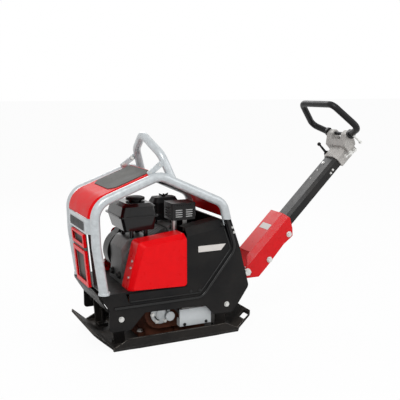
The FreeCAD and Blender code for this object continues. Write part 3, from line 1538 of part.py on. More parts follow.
def build():
    buffer_bolt_grip = side_thickness + 24
    near_plate = drill(side_plate_near(), buffer_bolt_places(), buffer_bolt, buffer_bolt_grip)
    far_plate = drill(side_plate_far(), buffer_bolt_places(), buffer_bolt, buffer_bolt_grip)
    screws = cover_screw_places()
    drive_gear_turn = 0.0
    driven_gear_turn = 0.5
    nodes = {
        "base_plate": base_plate(),
        "buffer_brackets": buffer_brackets(),
        "rubber_buffers": rubber_buffers(),
        "frame_bolts": frame_bolts(),
        "exciter_housing": exciter_housing(),
        "exciter_end_covers": exciter_end_covers(),
        "exciter_bearings": exciter_bearings(),
        "mounting_bolts": mounting_bolts(),
        "lower_belt_guard": drill(lower_belt_guard(), screws, 6, 8),
        "console_side_near": near_plate,
        "console_side_far": far_plate,
        "engine_deck": engine_deck(),
        "front_cross_member": front_cross_member(),
        "rear_cross_member": rear_cross_member(),
        "drawbar_stop": drawbar_stop(),
        "edge_beads": edge_beads(),
        "belt_cover_front": drill(belt_cover_front(), screws, 6, 8),
        "belt_cover_rear": drill(belt_cover_rear(), screws, 6, 8),
        "starter_side_cover": drill(starter_side_cover(), screws, 6, 8),
        "cover_screws": bolts(screws, 6, 8),
        "tube_frame_near": frame_tube(-1),
        "tube_frame_far": frame_tube(1),
        "lifting_bail": lifting_bail(),
        "bail_struts": bail_struts(),
        "front_hood": front_hood(),
        "hood_top_panel": hood_top_panel(),
        "front_band": front_band(),
        "grille_frames": grille_frames(),
        "grille_screen": grille_screen(),
        "front_wings": front_wings(),
        "rear_hood": rear_hood(),
        "rear_hood_frame": rear_hood_frame(),
        "engine_crankcase": engine_crankcase(),
        "engine_cylinder": engine_cylinder(),
        "cylinder_head": cylinder_head(),
        "crankshaft": crankshaft(),
        "clutch_drum": clutch_drum(),
        "flywheel": flywheel(),
        "recoil_housing": recoil_housing(),
        "starter_grip": starter_grip(),
        "fuel_tank": fuel_tank(),
        "fuel_cap": fuel_cap(),
        "muffler": muffler(),
        "muffler_guard": muffler_guard(),
        "air_cleaner": air_cleaner(),
        "carburettor": carburettor(),
        "oil_plugs": bolts(oil_plug_places(), 14, 11),
        "v_belt": v_belt(),
        "eccentric_shaft_drive": eccentric_shaft(exciter_shaft_x, drive_gear_turn, belt_y - 14),
        "eccentric_shaft_driven": eccentric_shaft(exciter_second_x, driven_gear_turn, -exciter_half + 3),
        "exciter_pulley": exciter_pulley(),
        "choke_lever": choke_lever(),
        "fuel_valve_lever": fuel_valve_lever(),
        "engine_switch": engine_switch(),
        "drawbar_bracket": drawbar_bracket(),
        "drawbar_beam": drawbar_beam(),
        "drawbar_bolts": drawbar_bolts(),
        "handle_head": handle_head(),
        "loop_handle": loop_handle(),
        "throttle_lever": throttle_lever(),
    }
    os.makedirs("parts", exist_ok=True)
    for name, shape in nodes.items():
        shape.exportStep("parts/" + name + ".step")
        bounds = shape.BoundBox
        sizes = (bounds.XMin, bounds.XMax, bounds.YMin, bounds.YMax, bounds.ZMin, bounds.ZMax)
        print(name, len(shape.Solids), shape.isValid(), "%.0f %.0f  %.0f %.0f  %.0f %.0f" % sizes)


build()
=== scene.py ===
import bpy
import bmesh
import json
import math
from mathutils import Matrix, Vector


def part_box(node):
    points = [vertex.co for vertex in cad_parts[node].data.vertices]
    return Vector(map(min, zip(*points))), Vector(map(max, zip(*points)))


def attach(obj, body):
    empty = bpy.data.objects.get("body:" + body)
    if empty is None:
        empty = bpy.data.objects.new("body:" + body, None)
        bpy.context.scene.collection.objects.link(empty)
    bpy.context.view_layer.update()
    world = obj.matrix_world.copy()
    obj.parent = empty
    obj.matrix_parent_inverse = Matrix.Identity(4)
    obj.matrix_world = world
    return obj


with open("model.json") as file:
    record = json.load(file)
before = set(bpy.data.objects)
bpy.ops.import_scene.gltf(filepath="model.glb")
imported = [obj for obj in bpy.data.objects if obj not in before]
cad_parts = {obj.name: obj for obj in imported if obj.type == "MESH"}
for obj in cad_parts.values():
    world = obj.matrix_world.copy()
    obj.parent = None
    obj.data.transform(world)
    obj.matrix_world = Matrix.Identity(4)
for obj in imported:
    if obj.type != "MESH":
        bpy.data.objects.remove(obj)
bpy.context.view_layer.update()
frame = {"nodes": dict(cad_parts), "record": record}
nodes = frame["nodes"]
print("frame loaded:", len(nodes), "nodes")


def link(tree, source, target):
    tree.links.new(source, target)


def addNode(tree, kind, place=(0, 0), **settings):
    node = tree.nodes.new(kind)
    node.location = place
    for name, value in settings.items():
        setattr(node, name, value)
    return node


def mathNode(tree, operation, first, second=None, clamp=False):
    node = addNode(tree, "ShaderNodeMath", operation=operation, use_clamp=clamp)
    for index, value in enumerate((first, second)):
        if value is None:
            continue
        if isinstance(value, (int, float)):
            node.inputs[index].default_value = value
        else:
            link(tree, value, node.inputs[index])
    return node.outputs[0]


def noise(tree, vector, scale, detail=3.0, roughness=0.55):
    node = addNode(tree, "ShaderNodeTexNoise")
    link(tree, vector, node.inputs["Vector"])
    for name, value in (("Scale", scale), ("Detail", detail), ("Roughness", roughness)):
        if isinstance(value, (int, float)):
            node.inputs[name].default_value = value
        else:
            link(tree, value, node.inputs[name])
    return node.outputs["Fac"]


def stretch(tree, value, low, high, toLow=0.0, toHigh=1.0):
    node = addNode(tree, "ShaderNodeMapRange", clamp=True)
    link(tree, value, node.inputs["Value"])
    for name, number in (("From Min", low), ("From Max", high), ("To Min", toLow), ("To Max", toHigh)):
        node.inputs[name].default_value = number
    return node.outputs["Result"]


def blendColor(tree, factor, first, second):
    node = addNode(tree, "ShaderNodeMix", data_type="RGBA", blend_type="MIX")
    for name, value in (("Factor", factor), ("A", first), ("B", second)):
        socket = [s for s in node.inputs if s.name == name and s.enabled][0]
        if isinstance(value, (int, float)):
            socket.default_value = value
        elif isinstance(value, tuple):
            socket.default_value = (*value[:3], 1.0)
        else:
            link(tree, value, socket)
    return [s for s in node.outputs if s.enabled][0]


def newGroup(name, inputs, outputs):
    group = bpy.data.node_groups.new(name, "ShaderNodeTree")
    for socketName, kind, value in inputs:
        socket = group.interface.new_socket(socketName, in_out="INPUT", socket_type=kind)
        if value is not None:
            socket.default_value = value
    for socketName, kind in outputs:
        group.interface.new_socket(socketName, in_out="OUTPUT", socket_type=kind)
    entry = addNode(group, "NodeGroupInput", (-900, 0))
    leave = addNode(group, "NodeGroupOutput", (700, 0))
    return group, entry.outputs, leave.inputs


# worn edges: where the rounded normal turns away from the flat one, broken up by noise
def makeEdgeWear():
    group, given, out = newGroup(
        "edgeWear",
        [("Width", "NodeSocketFloat", 0.0012), ("Scale", "NodeSocketFloat", 60.0),
         ("Amount", "NodeSocketFloat", 0.5)],
        [("Mask", "NodeSocketFloat"), ("Normal", "NodeSocketVector")])
    coords = addNode(group, "ShaderNodeTexCoord")
    rounded = addNode(group, "ShaderNodeBevel", samples=4)
    link(group, given["Width"], rounded.inputs["Radius"])
    geometry = addNode(group, "ShaderNodeNewGeometry")
    dot = addNode(group, "ShaderNodeVectorMath", operation="DOT_PRODUCT")
    link(group, rounded.outputs["Normal"], dot.inputs[0])
    link(group, geometry.outputs["Normal"], dot.inputs[1])
    edge = stretch(group, mathNode(group, "SUBTRACT", 1.0, dot.outputs["Value"]), 0.02, 0.22)
    broken = noise(group, coords.outputs["Object"], given["Scale"], 6.0, 0.65)
    limit = mathNode(group, "SUBTRACT", 1.0, given["Amount"])
    threshold = mathNode(group, "MULTIPLY", limit, 0.75)
    patch = mathNode(group, "MULTIPLY", mathNode(group, "SUBTRACT", broken, threshold), 7.0, True)
    link(group, mathNode(group, "MULTIPLY", edge, patch, True), out["Mask"])
    link(group, rounded.outputs["Normal"], out["Normal"])
    return group


# dust and dried soil: more on faces that look up, in soft patches
def makeDustFilm():
    group, given, out = newGroup(
        "dustFilm",
        [("Scale", "NodeSocketFloat", 9.0), ("Amount", "NodeSocketFloat", 0.4),
         ("Up", "NodeSocketFloat", 0.7)],
        [("Mask", "NodeSocketFloat")])
    coords = addNode(group, "ShaderNodeTexCoord")
    geometry = addNode(group, "ShaderNodeNewGeometry")
    split = addNode(group, "ShaderNodeSeparateXYZ")
    link(group, geometry.outputs["Normal"], split.inputs[0])
    upward = stretch(group, split.outputs["Z"], -0.2, 0.95)
    settled = mathNode(group, "MULTIPLY", upward, given["Up"])
    facing = mathNode(group, "ADD", settled, mathNode(group, "SUBTRACT", 1.0, given["Up"]))
    broad = stretch(group, noise(group, coords.outputs["Object"], given["Scale"], 5.0, 0.6), 0.38, 0.70)
    grains = stretch(group, noise(group, coords.outputs["Object"], 420.0, 2.0, 0.5), 0.30, 0.75, 0.5, 1.0)
    film = mathNode(group, "MULTIPLY", mathNode(group, "MULTIPLY", broad, grains), facing)
    link(group, mathNode(group, "MULTIPLY", film, given["Amount"], True), out["Mask"])
    return group


# surface grain: orange peel of paint, sand of a casting, or pores of moulded plastic
def makeGrain():
    group, given, out = newGroup(
        "surfaceGrain",
        [("Scale", "NodeSocketFloat", 500.0), ("Coarse", "NodeSocketFloat", 40.0)],
        [("Height", "NodeSocketFloat"), ("Tone", "NodeSocketFloat")])
    coords = addNode(group, "ShaderNodeTexCoord")
    fine = noise(group, coords.outputs["Object"], given["Scale"], 3.0, 0.6)
    coarse = noise(group, coords.outputs["Object"], given["Coarse"], 4.0, 0.6)
    link(group, mathNode(group, "ADD", fine, mathNode(group, "MULTIPLY", coarse, 0.6)), out["Height"])
    link(group, stretch(group, coarse, 0.3, 0.7), out["Tone"])
    return group


# fine scratches in random directions
def makeScratches():
    group, given, out = newGroup(
        "fineScratches", [("Scale", "NodeSocketFloat", 14.0)], [("Mask", "NodeSocketFloat")])
    coords = addNode(group, "ShaderNodeTexCoord")
    marks = []
    for angle, squeeze in ((0.5, 26.0), (-0.9, 34.0)):
        mapping = addNode(group, "ShaderNodeMapping")
        link(group, coords.outputs["Object"], mapping.inputs["Vector"])
        mapping.inputs["Rotation"].default_value = (angle, angle * 1.3, angle * 0.7)
        mapping.inputs["Scale"].default_value = (1.0, squeeze, squeeze)
        streaks = noise(group, mapping.outputs["Vector"], given["Scale"], 2.0, 0.5)
        marks.append(stretch(group, streaks, 0.66, 0.72))
    link(group, mathNode(group, "MAXIMUM", marks[0], marks[1]), out["Mask"])
    return group


groups = {"wear": makeEdgeWear(), "dust": makeDustFilm(), "grain": makeGrain(), "scratch": makeScratches()}


def placeGroup(tree, name, **values):
    node = addNode(tree, "ShaderNodeGroup", node_tree=groups[name])
    for socketName, value in values.items():
        node.inputs[socketName].default_value = value
    return node.outputs


# one recipe for coated, cast, moulded and bare surfaces; each finish below gives its own values
finishDefaults = {
    "color": (0.5, 0.5, 0.5), "tone": 0.06, "roughness": 0.4, "roughSpread": 0.08, "metallic": 0.0,
    "specular": 0.5, "coat": 0.0, "coatRoughness": 0.1, "grainScale": 500.0, "coarse": 30.0, "bump": 0.03,
    "bumpSize": 0.001, "wearColor": (0.32, 0.31, 0.30), "wear": 0.0, "wearWidth": 0.0012,
    "wearScale": 55.0, "wearMetal": 1.0, "dustColor": (0.30, 0.26, 0.21), "dust": 0.0, "dustScale": 9.0,
    "dustUp": 0.7, "scratch": 0.0, "scratchScale": 14.0,
}


def makeFinish(name, **changes):
    values = {**finishDefaults, **changes}
    material = bpy.data.materials.new(name)
    material.use_nodes = True
    tree = material.node_tree
    shader = tree.nodes["Principled BSDF"]
    grain = placeGroup(tree, "grain", Scale=values["grainScale"], Coarse=values["coarse"])
    wear = placeGroup(
        tree, "wear", Width=values["wearWidth"], Scale=values["wearScale"], Amount=values["wear"])
    dark = tuple(c * (1.0 - values["tone"]) for c in values["color"])
    light = tuple(min(c * (1.0 + values["tone"]), 1.0) for c in values["color"])
    color = blendColor(tree, grain["Tone"], dark, light)
    smoothest = values["roughness"] - values["roughSpread"]
    roughest = values["roughness"] + values["roughSpread"]
    rough = stretch(tree, grain["Tone"], 0.0, 1.0, smoothest, roughest)
    if values["scratch"] > 0:
        scratches = placeGroup(tree, "scratch", Scale=values["scratchScale"])
        marks = mathNode(tree, "MULTIPLY", scratches["Mask"], values["scratch"])
        bright = tuple(min(c * 1.8 + 0.03, 1.0) for c in values["color"])
        color = blendColor(tree, marks, color, bright)
        rough = mathNode(tree, "ADD", rough, mathNode(tree, "MULTIPLY", marks, 0.2), True)
    if values["dust"] > 0:
        dust = placeGroup(tree, "dust", Scale=values["dustScale"], Amount=values["dust"], Up=values["dustUp"])
        film = dust["Mask"]
        color = blendColor(tree, film, color, values["dustColor"])
        rough = mathNode(tree, "ADD", rough, mathNode(tree, "MULTIPLY", film, 0.45), True)
    if values["wear"] > 0:
        color = blendColor(tree, wear["Mask"], color, values["wearColor"])
        if values["wearMetal"] != values["metallic"]:
            metal = stretch(tree, wear["Mask"], 0.0, 1.0, values["metallic"], values["wearMetal"])
            link(tree, metal, shader.inputs["Metallic"])
    bump = addNode(tree, "ShaderNodeBump")
    bump.inputs["Strength"].default_value = values["bump"]
    bump.inputs["Distance"].default_value = values["bumpSize"]
    link(tree, grain["Height"], bump.inputs["Height"])
    link(tree, wear["Normal"], bump.inputs["Normal"])
    link(tree, bump.outputs["Normal"], shader.inputs["Normal"])
    link(tree, color, shader.inputs["Base Color"])
    link(tree, rough, shader.inputs["Roughness"])
    if not shader.inputs["Metallic"].is_linked:
        shader.inputs["Metallic"].default_value = values["metallic"]
    shader.inputs["Specular IOR Level"].default_value = values["specular"]
    shader.inputs["Coat Weight"].default_value = values["coat"]
    shader.inputs["Coat Roughness"].default_value = values["coatRoughness"]
    return material


finishes = {
    "plate_black": makeFinish(
        "platePaint", color=(0.011, 0.01, 0.0095), roughness=0.5, specular=0.12, dust=0.45,
        dustColor=(0.16, 0.135, 0.11), dustScale=11.0, dustUp=0.9, wear=0.55, wearWidth=0.002,
        wearColor=(0.22, 0.20, 0.18), bump=0.12, grainScale=260.0, scratch=0.35),
    "frame_silver": makeFinish(
        "silverTubePaint", color=(0.50, 0.53, 0.545), tone=0.12, roughness=0.34, roughSpread=0.06,
        metallic=0.25, coat=0.35, coatRoughness=0.16, grainScale=700.0, coarse=55.0, bump=0.05,
        scratch=0.10, scratchScale=9.0),
    "console_black": makeFinish(
        "consolePowderCoat", color=(0.0075, 0.0075, 0.008), tone=0.12, roughness=0.42, specular=0.12,
        grainScale=650.0, bump=0.10, wear=0.20, wearWidth=0.0012, wearColor=(0.10, 0.10, 0.10),
        wearMetal=0.0, dust=0.10, dustScale=6.0),
    "cover_red": makeFinish(
        "redCoverPaint", color=(0.78, 0.0015, 0.0045), tone=0.04, roughness=0.30, roughSpread=0.04,
        specular=0.12, coat=0.04, coatRoughness=0.12, grainScale=800.0, bump=0.03, scratch=0.04),
    "hood_red": makeFinish(
        "redHoodPaint", color=(0.72, 0.0015, 0.004), tone=0.05, roughness=0.36, roughSpread=0.06,
        specular=0.07, coat=0.02, coatRoughness=0.25, grainScale=700.0, coarse=18.0, bump=0.04,
        scratch=0.05, dust=0.04, dustColor=(0.55, 0.30, 0.28), dustScale=5.0, dustUp=1.0),
    "hood_grey": makeFinish(
        "hoodMat", color=(0.085, 0.085, 0.08), tone=0.10, roughness=0.62, specular=0.2, grainScale=380.0,
        bump=0.5, coarse=22.0, dust=0.30, dustColor=(0.26, 0.25, 0.23), dustScale=7.0),
    "rubber_black": makeFinish(
        "mouldedRubber", color=(0.008, 0.008, 0.008), roughness=0.7, specular=0.12, bump=0.15, dust=0.35,
        dustColor=(0.12, 0.11, 0.10)),
    "bead_black": makeFinish(
        "edgeBead", color=(0.007, 0.007, 0.007), roughness=0.20, roughSpread=0.05, specular=0.25,
        coat=0.15, coatRoughness=0.12, bump=0.02, scratch=0.10),
    "zinc": makeFinish(
        "zincPlate", color=(0.66, 0.66, 0.64), tone=0.12, roughness=0.34, metallic=0.85, coarse=160.0,
        bump=0.05, dust=0.15, dustColor=(0.35, 0.32, 0.28)),
    "exciter_brown": makeFinish(
        "castPrimer", color=(0.085, 0.026, 0.014), tone=0.35, roughness=0.68, specular=0.12,
        grainScale=240.0, coarse=35.0, bump=0.45, dust=0.35, dustColor=(0.16, 0.10, 0.07), dustUp=0.5),
    "cast_silver": makeFinish(
        "castCovers", color=(0.56, 0.59, 0.60), tone=0.10, roughness=0.42, metallic=0.45,
        grainScale=320.0, coarse=40.0, bump=0.15, dust=0.22, dustColor=(0.28, 0.22, 0.18), dustUp=0.2),
    "guard_silver": makeFinish(
        "guardPaint", color=(0.62, 0.655, 0.67), tone=0.05, roughness=0.42, metallic=0.10,
        grainScale=500.0, coarse=25.0, bump=0.06, dust=0.18, dustColor=(0.34, 0.30, 0.27), dustUp=0.1,
        wear=0.2),
    "steel": makeFinish(
        "turnedSteel", color=(0.42, 0.41, 0.40), tone=0.15, roughness=0.32, metallic=0.95, coarse=80.0,
        bump=0.05, dust=0.2, dustColor=(0.14, 0.10, 0.08)),
    "engine_alu": makeFinish(
        "castAluminium", color=(0.17, 0.17, 0.168), tone=0.30, roughness=0.46, metallic=0.75,
        grainScale=260.0, coarse=45.0, bump=0.30, dust=0.18, dustColor=(0.20, 0.18, 0.16)),
    "engine_black": makeFinish(
        "engineBlackPaint", color=(0.006, 0.006, 0.0065), roughness=0.33, specular=0.2, coat=0.08,
        bump=0.05, wear=0.15, wearColor=(0.12, 0.12, 0.12), dust=0.08),
    "tank_black": makeFinish(
        "tankPaint", color=(0.004, 0.004, 0.0045), roughness=0.16, roughSpread=0.05, specular=0.25,
        coat=0.22, coatRoughness=0.06, bump=0.015, coarse=12.0, scratch=0.12, dust=0.05),
    "plastic_black": makeFinish(
        "mouldedPlastic", color=(0.008, 0.008, 0.0085), roughness=0.45, specular=0.15, grainScale=900.0,
        bump=0.20, dust=0.08),
    "belt": makeFinish(
        "beltRubber", color=(0.015, 0.015, 0.015), roughness=0.75, bump=0.2),
    "screen_grey": makeFinish(
        "screenPaint", color=(0.10, 0.095, 0.09), tone=0.3, roughness=0.7, coarse=20.0, bump=0.3,
        dust=0.4),
    "head_grey": makeFinish(
        "headCasting", color=(0.40, 0.385, 0.365), tone=0.12, roughness=0.5, metallic=0.25,
        grainScale=300.0, coarse=35.0, bump=0.25, dust=0.2, dustColor=(0.30, 0.27, 0.24)),
    "bar_black": makeFinish(
        "drawbarPowderCoat", color=(0.008, 0.008, 0.0085), tone=0.12, roughness=0.36, specular=0.2,
        coat=0.05, grainScale=600.0, bump=0.10, wear=0.28, wearWidth=0.0012, wearColor=(0.10, 0.10, 0.10),
        wearMetal=0.2, dust=0.10, scratch=0.10),
    "bracket_red": makeFinish(
        "redBracketPaint", color=(0.66, 0.0035, 0.007), tone=0.06, roughness=0.34, specular=0.2,
        coat=0.06, grainScale=600.0, bump=0.06, scratch=0.12, dust=0.10, dustColor=(0.40, 0.20, 0.18),
        wear=0.12, wearColor=(0.30, 0.05, 0.05), wearMetal=0.1),
    "grip_black": makeFinish(
        "dippedGrip", color=(0.0075, 0.0075, 0.008), roughness=0.38, specular=0.2, coat=0.05,
        grainScale=420.0, bump=0.12, wear=0.0, scratch=0.08),
    "switch_red": makeFinish(
        "switchPlastic", color=(0.55, 0.01, 0.01), roughness=0.35),
}

darkScrews = makeFinish("darkScrews", color=(0.02, 0.02, 0.02), roughness=0.4, specular=0.2)


def dressNodes():
    slotOf = {row["node"]: row["material_slot"] for row in frame["record"]["subparts"]}
    for name, piece in nodes.items():
        slotName = slotOf[name]
        piece.data.materials.clear()
        piece.data.materials.append(darkScrews if name == "cover_screws" else finishes[slotName])


dressNodes()
print("finishes on", len(nodes), "nodes")


def keepPiece(name, bm, body, materials, smooth=False):
    bmesh.ops.remove_doubles(bm, verts=bm.verts, dist=1e-6)
    bmesh.ops.recalc_face_normals(bm, faces=bm.faces)
    mesh = bpy.data.meshes.new(name)
    for face in bm.faces:
        face.smooth = smooth
    bm.to_mesh(mesh)
    bm.free()
    piece = bpy.data.objects.new(name, mesh)
    bpy.context.collection.objects.link(piece)
    for material in materials:
        mesh.materials.append(material)
    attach(piece, body)
    return piece


def roundEdges(bm, edges, width, segments=2):
    bmesh.ops.bevel(
        bm, geom=edges, offset=width, offset_type="OFFSET", affect="EDGES", segments=segments,
        profile=0.5, material=-1)


def addBlock(bm, low, high, bevel=0.0):
    size = [h - l for l, h in zip(low, high)]
    middle = [(h + l) / 2 for l, h in zip(low, high)]
    matrix = Matrix.Translation(middle) @ Matrix.Diagonal((*size, 1.0))
    made = bmesh.ops.create_cube(bm, size=1.0, matrix=matrix)["verts"]
    if bevel > 0:
        roundEdges(bm, list({e for v in made for e in v.link_edges}), bevel)


def addHexBolt(bm, place, axis, across, height, washer=0.0):
    # a bolt head with a washer, standing on its place along the axis
    turn = Vector(axis).normalized().to_track_quat("Z", "Y").to_matrix().to_4x4()
    base = Matrix.Translation(place) @ turn
    if washer > 0:
        flat = base @ Matrix.Translation((0, 0, height * 0.09))
        bmesh.ops.create_cone(
            bm, cap_ends=True, segments=28, radius1=washer, radius2=washer * 0.97, depth=height * 0.18,
            matrix=flat)
    head = base @ Matrix.Translation((0, 0, height * 0.6))
    # a hexagon's corners lie 0.577 of its width across flats from the middle
    corner = across * 0.577
    made = bmesh.ops.create_cone(
        bm, cap_ends=True, segments=6, radius1=corner, radius2=corner, depth=height * 0.84,
        matrix=head)["verts"]
    top = [v for v in made if ((base.inverted() @ v.co).z > height * 0.7)]
    rim = [e for e in {e for v in top for e in v.link_edges} if e.verts[0] in top and e.verts[1] in top]
    roundEdges(bm, rim, across * 0.07, 2)


def addRod(bm, start, end, radius, segments=20):
    start, end = Vector(start), Vector(end)
    along = end - start
    turn = along.to_track_quat("Z", "Y").to_matrix().to_4x4()
    matrix = Matrix.Translation((start + end) / 2) @ turn
    bmesh.ops.create_cone(
        bm, cap_ends=True, segments=segments, radius1=radius, radius2=radius, depth=along.length,
        matrix=matrix)


def addPolygon(bm, corners, depth):
    # a flat outline pushed out along the given depth
    face = bm.faces.new([bm.verts.new(c) for c in corners])
    pushed = bmesh.ops.extrude_face_region(bm, geom=[face])["geom"]
    lifted = [g for g in pushed if isinstance(g, bmesh.types.BMVert)]
    bmesh.ops.translate(bm, verts=lifted, vec=Vector(depth))


barValues = {"pivot": (0.390211, 0.0, 0.222), "angle": 44.5}


def onBar(s, h, y):
    turn = math.radians(barValues["angle"])
    x = barValues["pivot"][0] + s * math.cos(turn) - h * math.sin(turn)
    return Vector((x, y, barValues["pivot"][2] + s * math.sin(turn) + h * math.cos(turn)))


platePlastic = makeFinish(
    "blankPlate", color=(0.005, 0.005, 0.0055), roughness=0.35, specular=0.08, bump=0.04)
plateEdge = makeFinish("plateEdge", color=(0.42, 0.43, 0.44), roughness=0.35, metallic=0.6, bump=0.03)
badgeFace = makeFinish(
    "blankBadge", color=(0.66, 0.63, 0.60), tone=0.03, roughness=0.4, specular=0.2, bump=0.02)
labelFace = makeFinish(
    "blankLabel", color=(0.68, 0.66, 0.63), tone=0.05, roughness=0.45, specular=0.2, bump=0.03)
paleShield = makeFinish(
    "heatShield", color=(0.74, 0.74, 0.72), tone=0.06, roughness=0.4, metallic=0.2, bump=0.05)
satinPanel = makeFinish(
    "tankSidePanel", color=(0.045, 0.047, 0.050), tone=0.2, roughness=0.35, roughSpread=0.1, specular=0.3,
    coarse=30.0, bump=0.04)
darkSlot = makeFinish("castSlot", color=(0.012, 0.010, 0.010), roughness=0.8, specular=0.05)

namePlateValues = {
    "halfWidth": 0.104, "low": 0.4785, "high": 0.5195, "thickness": 0.0018, "rim": 0.0022,
    "sink": 0.001, "bevel": 0.0006, "rivetInset": 0.006, "rivetRadius": 0.0016, "rivetSink": 0.0006,
}


def makeNamePlate():
    v = namePlateValues
    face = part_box("front_band")[0][0]
    bm = bmesh.new()
    low = (face - v["thickness"], -v["halfWidth"], v["low"])
    high = (face + v["sink"], v["halfWidth"], v["high"])
    addBlock(bm, low, high, v["bevel"])
    bm.faces.ensure_lookup_table()
    front = max(bm.faces, key=lambda f: -f.calc_center_median().x + f.calc_area())
    for f in bm.faces:
        f.material_index = 1
    bmesh.ops.inset_region(bm, faces=[front], thickness=v["rim"], depth=-0.0005)
    front.material_index = 0
    keepPiece("name_plate", bm, "chassis", [platePlastic, plateEdge])
    bm = bmesh.new()
    inset = v["rivetInset"]
    for y in (-v["halfWidth"] + inset, v["halfWidth"] - inset):
        for z in (v["low"] + inset, v["high"] - inset):
            place = Matrix.Translation((face - v["thickness"] + v["rivetSink"], y, z))
            bmesh.ops.create_uvsphere(bm, u_segments=12, v_segments=8, radius=v["rivetRadius"], matrix=place)
    keepPiece("name_plate_rivets", bm, "chassis", [finishes["zinc"]], True)


badgeValues = {
    "left": 0.0945, "right": 0.222, "low": 0.3665, "high": 0.3925, "slant": 0.022, "thickness": 0.0008,
    "side": -0.1861, "cornerRadius": 0.002,
}


def makeBadge():
    v = badgeValues
    y = v["side"]
    corners = [
        (v["left"], y, v["low"]), (v["right"] - v["slant"], y, v["low"]), (v["right"], y, v["high"]),
        (v["left"], y, v["high"])]
    bm = bmesh.new()
    addPolygon(bm, corners, (0, -v["thickness"], 0))
    upright = [e for e in bm.edges if abs((e.verts[0].co - e.verts[1].co).y) > v["thickness"] * 0.5]
    roundEdges(bm, upright, v["cornerRadius"], 3)
    keepPiece("side_badge", bm, "chassis", [badgeFace])


coverRidgeValues = {
    "points": [
        (-0.204, 0.1945), (0.020, 0.1945), (0.090, 0.1945), (0.1025, 0.1945), (0.112, 0.204), (0.170, 0.275),
        (0.236, 0.357), (0.243, 0.366), (0.241, 0.376), (0.222, 0.432), (0.214, 0.457)],
    "radius": 0.0030, "sideLine": 0.1858,
}


def makeCoverRidge(name, sign):
    v = coverRidgeValues
    data = bpy.data.curves.new(name, "CURVE")
    data.dimensions = "3D"
    data.bevel_depth = v["radius"]
    data.bevel_resolution = 4
    data.resolution_u = 6
    data.use_fill_caps = True
    spline = data.splines.new("NURBS")
    spline.points.add(len(v["points"]) - 1)
    for point, (x, z) in zip(spline.points, v["points"]):
        point.co = (x, sign * v["sideLine"], z, 1.0)
    spline.order_u = 3
    spline.use_endpoint_u = True
    piece = bpy.data.objects.new(name, data)
    bpy.context.collection.objects.link(piece)
    data.materials.append(finishes["bead_black"])
    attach(piece, "chassis")


tankPanelValues = {
    "lowLeft": -0.178, "lowRight": -0.062, "topLeft": -0.166, "topRight": -0.074, "low": 0.5275,
    "high": 0.5560, "lift": 0.0009, "wallInset": 0.007, "wallSlope": 0.15, "wallFoot": 0.520,
}


def makeTankPanels():
    v = tankPanelValues
    low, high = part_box("fuel_tank")
    for name, sign, edge in (("tank_panel_near", -1, low[1]), ("tank_panel_far", 1, high[1])):
        def wall(z):
            inset = v["wallInset"] + (z - v["wallFoot"]) * v["wallSlope"]
            return edge - sign * inset + sign * v["lift"]
        lowY, highY = wall(v["low"]), wall(v["high"])
        corners = [
            (v["lowLeft"], lowY, v["low"]), (v["lowRight"], lowY, v["low"]),
            (v["topRight"], highY, v["high"]), (v["topLeft"], highY, v["high"])]
        bm = bmesh.new()
        addPolygon(bm, corners, (0, -sign * 0.003, 0))
        outer = max(bm.faces, key=lambda f: sign * f.calc_center_median().y * 1000 + f.calc_area())
        for f in bm.faces:
            f.material_index = 1
        bmesh.ops.inset_region(bm, faces=[outer], thickness=0.0028, depth=-0.0006)
        outer.material_index = 0
        keepPiece(name, bm, "chassis", [satinPanel, finishes["tank_black"]])


shieldValues = {"start": (0.013, 0.0036, 0.008), "end": (0.099, 0.0046, 0.052), "bevel": 0.0003}


def makeShield():
    # places are measured from the muffler guard's low corner
    v = shieldValues
    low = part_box("muffler_guard")[0]
    bm = bmesh.new()
    start = [a + b for a, b in zip(low, v["start"])]
    end = [a + b for a, b in zip(low, v["end"])]
    addBlock(bm, start, end, v["bevel"])
    keepPiece("muffler_heat_shield", bm, "chassis", [paleShield])


smallBoltRows = [
    {
        "name": "cover_front_bolts",
        "places": [(-0.1787, -0.150, 0.350), (-0.1856, -0.150, 0.323), (-0.1955, -0.150, 0.285)],
        "axis": (-0.969, 0, 0.248), "across": 0.010, "height": 0.006, "washer": 0.0075, "body": "chassis",
    },
    {
        "name": "cover_front_bolts_far", "places": [(-0.1787, 0.1735, 0.350), (-0.1955, 0.1735, 0.285)],
        "axis": (-0.969, 0, 0.248), "across": 0.008, "height": 0.005, "washer": 0.006, "body": "chassis",
    },
    {
        "name": "side_edge_bolts", "places": [(0.2545, -0.185, 0.458), (0.2615, -0.185, 0.436)],
        "axis": (0, -1, 0), "across": 0.008, "height": 0.004, "washer": 0.0055, "body": "chassis",
    },
    {
        "name": "bar_side_screws",
        "places": [onBar(0.642, -0.0213, -0.045), onBar(0.624, -0.0243, -0.045)], "axis": (0, -1, 0),
        "across": 0.008, "height": 0.004, "washer": 0.006, "body": "drawbar",
    },
    {
        "name": "bar_side_screws_far",
        "places": [onBar(0.642, -0.0213, 0.045), onBar(0.624, -0.0243, 0.045)], "axis": (0, 1, 0),
        "across": 0.008, "height": 0.004, "washer": 0.006, "body": "drawbar",
    },
]


def makeSmallBolts():
    for row in smallBoltRows:
        bm = bmesh.new()
        for place in row["places"]:
            addHexBolt(bm, place, row["axis"], row["across"], row["height"], row["washer"])
        keepPiece(row["name"], bm, row["body"], [finishes["zinc"]])


barTopValues = {
    "screw": (0.6507, 0.009, 0.012), "rivets": [(0.604, 0.0032), (0.552, 0.0026)], "rivetLow": 0.0088,
    "side": 0.012, "rivetDepth": 0.0007,
}


